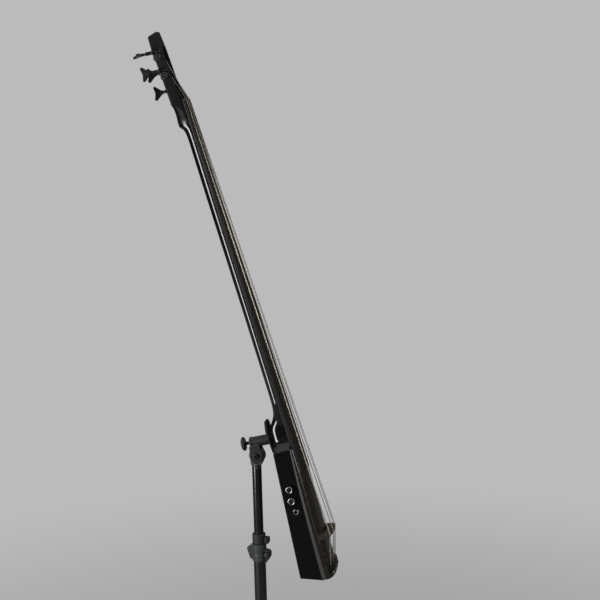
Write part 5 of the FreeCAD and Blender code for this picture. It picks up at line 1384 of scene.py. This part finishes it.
def build_height_clamp():
    """Grooved sleeve where the tubes meet, with a split lug in front and a fin behind."""
    sleeve = [(0, 584.0), (17.3, 584.0), (17.3, 600.0), (16.6, 602.0), (16.6, 606.0),
              (17.3, 608.0), (17.3, 627.0), (0, 627.0)]
    fin = [(12.0, 625.5), (17.5, 625.5), (30.6, 615.0), (23.2, 590.0), (16.0, 585.5),
           (12.0, 586.0)]
    lug = [(-12.0, 613.0), (-26.0, 610.0), (-29.0, 604.0), (-28.0, 594.0), (-17.5, 579.0),
           (-12.0, 579.0)]
    split = [(-40.0, 570.0), (-8.0, 570.0), (-8.0, 640.0), (-40.0, 640.0)]
    parts = [lathe(sleeve, POLE_FRAME, 128, 0.9),
             prism(fillet(fin, 2.4, True, 5), -4.5, 4.5, POLE_SIDE, 0.8),
             prism(fillet(lug, 3.0, True, 5), -8.5, 8.5, POLE_SIDE, 0.8)]
    cutters = [rod(POLE_FRAME, LOWER_RADIUS + 0.02, 570.0, 590.0, seg=128),
               rod(POLE_FRAME, UPPER_RADIUS + 0.5, 575.0, 640.0, seg=128),
               prism(split, -0.9, 0.9, POLE_SIDE),
               rod(cross_frame(*CLAMP_KNOB), 3.1, -20, 20, seg=40)]
    cast("height_clamp_moulded", "height_clamp", parts, cutters)


def build_lobed_knob(node, center, face, screw, length, r, thick, lobes):
    """Lobed grip on the -X side; face is the x of its inner face, screw its radius."""
    frame = cross_frame(*center, hint=(0, 1, 0))

    def lobe(theta, radius, height):
        if radius > r * 0.7:
            return radius - 0.09 * r * (1 - math.cos(lobes * theta)) * radius / r
        return radius

    outer = face - thick
    profile = [(0, outer - 1.6), (r * 0.5, outer - 1.6), (r * 0.6, outer - 1.1),
               (r * 0.62, outer - 0.2), (r * 0.9, outer), (r * 0.97, outer + 0.4),
               (r, outer + 1.4), (r, face - 1.4), (r * 0.97, face - 0.4), (r * 0.9, face),
               (r * 0.55, face), (r * 0.55, face + 1.4), (screw, face + 1.4),
               (screw, face + length - 0.4), (screw - 0.4, face + length), (0, face + length)]
    o = lathe(profile, frame, 180, radius_at=lobe, name=node + "_lobed")
    paint_turned(o, frame, "grip_plastic", "black_screws",
                 lambda radius, height: height > face + 1.3 and radius < screw + 0.1)
    place(o, node, painted=True)


build_stop_collar()
build_height_clamp()
build_lobed_knob("collar_knob", COLLAR_KNOB, face=-8.6, screw=2.5, length=17.0, r=6.6,
                 thick=7.0, lobes=5)
build_lobed_knob("height_knob", CLAMP_KNOB, face=-10.2, screw=3.0, length=20.0, r=9.0,
                 thick=10.0, lobes=6)

# ------------------------------------------------------------------ tripod
LEG_ANGLES = {"front": -90.0, "left": 150.0, "right": 30.0}
HINGE_HEIGHT = 150.0
HINGE_RADIUS = 40.0
LEG_WIDTH = 14.0
LEG_DEPTH = 25.0
LEG_DROP = HINGE_HEIGHT - 16.0
LEG_RUN = 318.0 - HINGE_RADIUS
LEG_SLOPE = math.atan2(LEG_DROP, LEG_RUN)
LEG_LENGTH = math.hypot(LEG_DROP, LEG_RUN)


def leg_axes(degrees):
    """Outward direction, direction round the pole, and hinge centre."""
    a = math.radians(degrees)
    radial = np.array([math.cos(a), math.sin(a), 0.0])
    tangent = np.array([-math.sin(a), math.cos(a), 0.0])
    hinge = on_pole(0, 0, 0) + radial * HINGE_RADIUS + np.array([0, 0, HINGE_HEIGHT])
    return radial, tangent, hinge


def build_leg(name, degrees):
    """Rectangular bar with rounded corners and a round, eased hinge end."""
    radial, tangent, hinge = leg_axes(degrees)
    along = radial * math.cos(LEG_SLOPE) - WORLD_Z * math.sin(LEG_SLOPE)
    upward = radial * math.sin(LEG_SLOPE) + WORLD_Z * math.cos(LEG_SLOPE)
    half = LEG_WIDTH / 2
    loops = []
    for u in ([-11.98, -11.8, -11.3, -10.0, -8.0, -5.5, -3.0, 0.0]
              + list(np.linspace(8.0, LEG_LENGTH - 0.4, 30)) + [LEG_LENGTH]):
        eased = clamp01((8.0 - u) / 8.0)
        reach = LEG_DEPTH / 2 - 0.5 * eased
        if u < 0:
            reach = math.sqrt(max(0.3, reach * reach - u * u))
        corner = 1.8 + 0.9 * eased if reach > 3.0 else min(1.8, reach * 0.8)
        box = [(-half, -reach), (half, -reach), (half, reach), (-half, reach)]
        loops.append([hinge + along * u + upward * v + tangent * w
                      for w, v in fillet(box, corner, True, 5)])
    leg = loft(loops, "leg_%s_tube" % name)
    boolean(leg, [rod(axis_frame(hinge, tangent, along), 4.05, -20, 20, seg=48)])
    place(leg, "leg_" + name, angle=40)


soft_copy("tripod_hub", "tripod_hub_moulded", voxel=0.95, smoothing=5)
for leg_name, leg_degrees in LEG_ANGLES.items():
    build_leg(leg_name, leg_degrees)
    soft_copy("foot_" + leg_name, "foot_%s_boot" % leg_name, voxel=0.9, smoothing=6, angle=70)


# ------------------------------------------------------------------ screws and bolts
def fastener(frame, profile, recess, size, seg=64):
    """Turned screw, its head's top last in the profile, with a hex or cross recess."""
    top = profile[-1][1]
    if recess == "hex":
        outline, depth = hexagon(size), size * 0.9
    else:
        a, b = size, size * 0.2
        outline = [(-a, -b), (-b, -b), (-b, -a), (b, -a), (b, -b), (a, -b),
                   (a, b), (b, b), (b, a), (-b, a), (-b, b), (-a, b)]
        depth = size * 0.55
    o = lathe(profile, frame, seg)
    return boolean(o, [prism(outline, top - depth, top + 3.0, frame)])


def build_cover_screws():
    """(x, distance below the nut) of each screw on the sloping back."""
    places = ((-42.8, 903.5), (36.6, 903.5), (-42.8, 1092.5), (36.6, 1092.5),
              (36.8, 1000.0), (-42.0, 1050.0))
    profile = [(0, -11.0), (1.2, -11.0), (1.3, -10.0), (1.3, -0.2), (2.6, -0.2), (2.7, 0.0),
               (2.6, 0.35), (2.1, 0.68), (1.3, 0.86), (0, 0.9)]
    outward = turned(math.atan(BACK_SLOPE))[0]
    screws = []
    for i, (x, down) in enumerate(places):
        frame = axis_frame(on_lean(x, down, back_depth(down)), outward,
                           (math.cos(0.7 * i), 0.0, math.sin(0.7 * i)))
        screws.append(fastener(frame, profile, "cross", 1.35))
    place(join(screws, "cover_screws_crosshead"), "cover_screws")


def build_neck_bolts():
    profile = [(0, -26.2), (2.2, -26.2), (2.5, -25.8), (2.5, -4.4), (4.4, -4.4), (4.5, -4.2),
               (4.5, -0.9), (4.3, -0.55), (3.9, -0.4), (0, -0.4)]
    bolts = []
    for i, (x, down) in enumerate(((-15.0, 866.0), (15.0, 866.0), (-15.0, 888.0),
                                   (15.0, 888.0))):
        frame = axis_frame(on_lean(x, down, back_depth(down)), DEEP,
                           (math.cos(0.5 * i), 0.0, math.sin(0.5 * i)))
        bolts.append(fastener(frame, profile, "hex", 2.4))
    place(join(bolts, "neck_bolts_socket"), "neck_bolts")


def build_anchor_screws():
    profile = [(0, -22.0), (1.6, -22.0), (1.9, -21.5), (1.9, -2.2), (3.3, -2.2), (3.4, -2.0),
               (3.4, -0.9), (3.1, -0.4), (2.4, -0.12), (0, 0.0)]
    screws = []
    for x in (-22.6, 22.6):
        head = on_lean(x, 1147.0, arch_depth(1147.0, x) - 5.6 + 1.1)
        screws.append(fastener(axis_frame(head, -DEEP, ACROSS), profile, "cross", 1.7))
    place(join(screws, "anchor_screws_crosshead"), "anchor_screws")


def build_tuner_screws():
    profile = [(0, -8.4), (0.9, -8.4), (1.1, -8.0), (1.1, -1.0), (1.7, -0.15), (1.75, 0.05),
               (1.6, 0.14), (0, 0.2)]
    screws = []
    for key in POSTS:
        _, side, way, worm_mid = tuner_place(key)
        for u in (-6.0, 9.4):
            head = (worm_mid + WORM_AXIS * u + WORM_SIDE * ((-WORM_OFFSET - 5.6) * way)
                    + ACROSS * (side * (HEAD_HALF + PLATE_THICKNESS)))
            frame = axis_frame(head, ACROSS * side, DEEP + ALONG * (0.3 + u * 0.1))
            screws.append(fastener(frame, profile, "cross", 1.1, seg=40))
    place(join(screws, "tuner_screws_countersunk"), "tuner_screws")


def jack_knurl(theta, radius, height):
    if abs(radius - 6.1) < 0.02 and 1.15 < height < 1.9:
        return radius - 0.16 * (0.5 + 0.5 * math.cos(theta * 40))
    return radius


def build_output_jack():
    """Washer, knurled nut and sleeve on the -X side, with a wider drum inside the body."""
    down, deep, bore = 988.7, 48.1, 3.25
    frame = axis_frame(on_lean(-body_half(down), down, deep), -ACROSS, ALONG)
    profile = [(bore, -33.8), (5.4, -33.8), (5.5, -33.4), (5.5, 0.32), (7.3, 0.32),
               (7.4, 0.45), (7.4, 0.8), (7.2, 0.98), (6.0, 1.0), (6.1, 1.2), (6.1, 1.4),
               (6.1, 1.6), (6.1, 1.85), (5.8, 2.12), (5.0, 2.2), (4.6, 2.15), (4.3, 1.75),
               (4.0, 1.7), (3.9, 2.0), (3.5, 2.05), (bore, 1.85), (bore, -33.8)]
    nut = lathe(profile, frame, 160, radius_at=jack_knurl)
    drum = lathe([(5.5, -27.6), (8.2, -27.6), (8.2, -10.0), (8.0, -9.6), (5.5, -9.6),
                  (5.5, -27.6)], frame, 48)
    place(join([nut, drum], "output_jack_knurled"), "output_jack")


def build_leg_pins():
    """Socket-head pin and hex nut through each leg hinge."""
    seat = LEG_WIDTH / 2 + 5.3
    profile = [(0, -seat - 4.0), (5.6, -seat - 4.0), (6.7, -seat - 3.7), (7.0, -seat - 3.0),
               (7.0, -seat - 0.3), (6.8, -seat), (4.0, -seat), (4.0, seat + 4.6),
               (3.6, seat + 5.1), (0, seat + 5.1)]
    parts = []
    for degrees in LEG_ANGLES.values():
        radial, tangent, hinge = leg_axes(degrees)
        frame = axis_frame(hinge, tangent, radial)
        pin = lathe(profile, frame, 80)
        boolean(pin, [prism(hexagon(3.0), -seat - 6.0, -seat - 1.8, frame)])
        parts += [pin, prism(hexagon(6.6), seat, seat + 4.6, frame, 0.45)]
    place(join(parts, "leg_pins_bolted"), "leg_pins")


build_cover_screws()
build_neck_bolts()
build_anchor_screws()
build_tuner_screws()
build_output_jack()
build_leg_pins()

# ------------------------------------------------------------------ bridge and anchor bar
soft_copy("bridge", "bridge_stained", voxel=0.45, smoothing=5)
soft_copy("anchor_bar", "anchor_bar_plated", voxel=0.40, smoothing=4)

# ------------------------------------------------------------------ floor and world (metres)
SKY = (0.50, 0.495, 0.505)


def build_floor():
    """Disc that fades into the sky for the camera and is dim for other rays."""
    material = bpy.data.materials.new("studio_floor")
    material.use_nodes = True
    tree = material.node_tree
    paper = tree.nodes["Principled BSDF"]
    put(tree, paper.inputs["Base Color"], (0.55, 0.545, 0.555))
    put(tree, paper.inputs["Roughness"], 0.9)
    distance = add_node(tree, "VectorMath")
    distance.operation = "LENGTH"
    position = add_node(tree, "NewGeometry").outputs["Position"]
    put(tree, distance.inputs[0], position)
    fade = add_node(tree, "MapRange", Value=distance.outputs["Value"], From_Min=0.35,
                    From_Max=2.6)
    fade.interpolation_type = "SMOOTHSTEP"
    sky = add_node(tree, "Emission", Color=SKY).outputs[0]
    seen = mix_shader(tree, fade.outputs[0], paper.outputs[0], sky)
    dim = add_node(tree, "BsdfDiffuse", Color=(0.16, 0.16, 0.165)).outputs[0]
    camera_ray = add_node(tree, "LightPath").outputs["Is Camera Ray"]
    put(tree, tree.nodes["Material Output"].inputs["Surface"],
        mix_shader(tree, camera_ray, dim, seen))
    radius, sides = 40.0, 64
    angles = [2 * math.pi * k / sides for k in range(sides)]
    rim = [(radius * math.cos(a), radius * math.sin(a), -0.0002) for a in angles]
    floor = mesh_object("studio_floor", rim, [tuple(range(sides))])
    floor.data.materials.append(material)


def build_world():
    """Faint light, with the sky colour seen by the camera only."""
    world = bpy.data.worlds.new("studio")
    bpy.context.scene.world = world
    world.use_nodes = True
    tree = world.node_tree
    tree.nodes.clear()
    light = add_node(tree, "Background", Color=(0.55, 0.56, 0.58), Strength=0.10)
    sky = add_node(tree, "Background", Color=SKY, Strength=1.0)
    camera_ray = add_node(tree, "LightPath").outputs["Is Camera Ray"]
    add_node(tree, "OutputWorld",
             Surface=mix_shader(tree, camera_ray, light.outputs[0], sky.outputs[0]))


build_floor()
build_world()

# ------------------------------------------------------------------ lights and camera (metres)
# (name, location, target, width, height, watts)
LIGHTS = [
    ("key_box", (-2.6, -3.0, 3.6), (0, 0.0, 1.2), 1.3, 1.3, 45),
    ("side_box", (-1.9, 1.8, 0.95), (0, 0.05, 1.05), 0.78, 2.1, 40),
    ("front_box", (-0.85, -2.9, 1.75), (0, -0.05, 1.1), 1.0, 1.7, 26),
    ("fill_right", (2.1, 2.9, 2.3), (0, 0, 1.1), 1.8, 1.8, 30),
    ("top_rear", (-0.45, 1.45, 3.5), (0, 0, 1.0), 2.1, 2.1, 5),
    ("top_soft", (0.7, -0.3, 4.2), (0, 0, 1.0), 1.8, 1.8, 42),
]


def add_light(name, location, target, width, height, watts):
    light = bpy.data.lights.new(name, "AREA")
    light.energy = watts
    light.shape = "RECTANGLE"
    light.size = width
    light.size_y = height
    o = bpy.data.objects.new(name, light)
    o.location = location
    o.rotation_mode = "QUATERNION"
    o.rotation_quaternion = (Vector(target) - Vector(location)).to_track_quat("-Z", "Y")
    bpy.context.scene.collection.objects.link(o)
    o.visible_camera = False


def add_camera():
    lens = bpy.data.cameras.new("camera")
    camera = bpy.data.objects.new("camera", lens)
    bpy.context.scene.collection.objects.link(camera)
    lens.sensor_width = 36.0
    lens.lens = 76.5
    lens.clip_start = 0.05
    lens.clip_end = 200.0
    forward = (0.9687244, 0.18830095, -0.16160382)
    right = (0.18659104, -0.98209798, -0.02583287)
    upward = (0.16357514, 0.00512889, 0.98651755)
    view = Matrix([(right[i], upward[i], -forward[i]) for i in range(3)])
    camera.rotation_mode = "QUATERNION"
    camera.rotation_quaternion = view.to_quaternion()
    camera.location = (-2.866351, (POLE_Y - 673.029) / 1000.0, 1.7)
    bpy.context.scene.camera = camera


for light_row in LIGHTS:
    add_light(*light_row)
add_camera()
bpy.context.scene.view_settings.view_transform = "Standard"
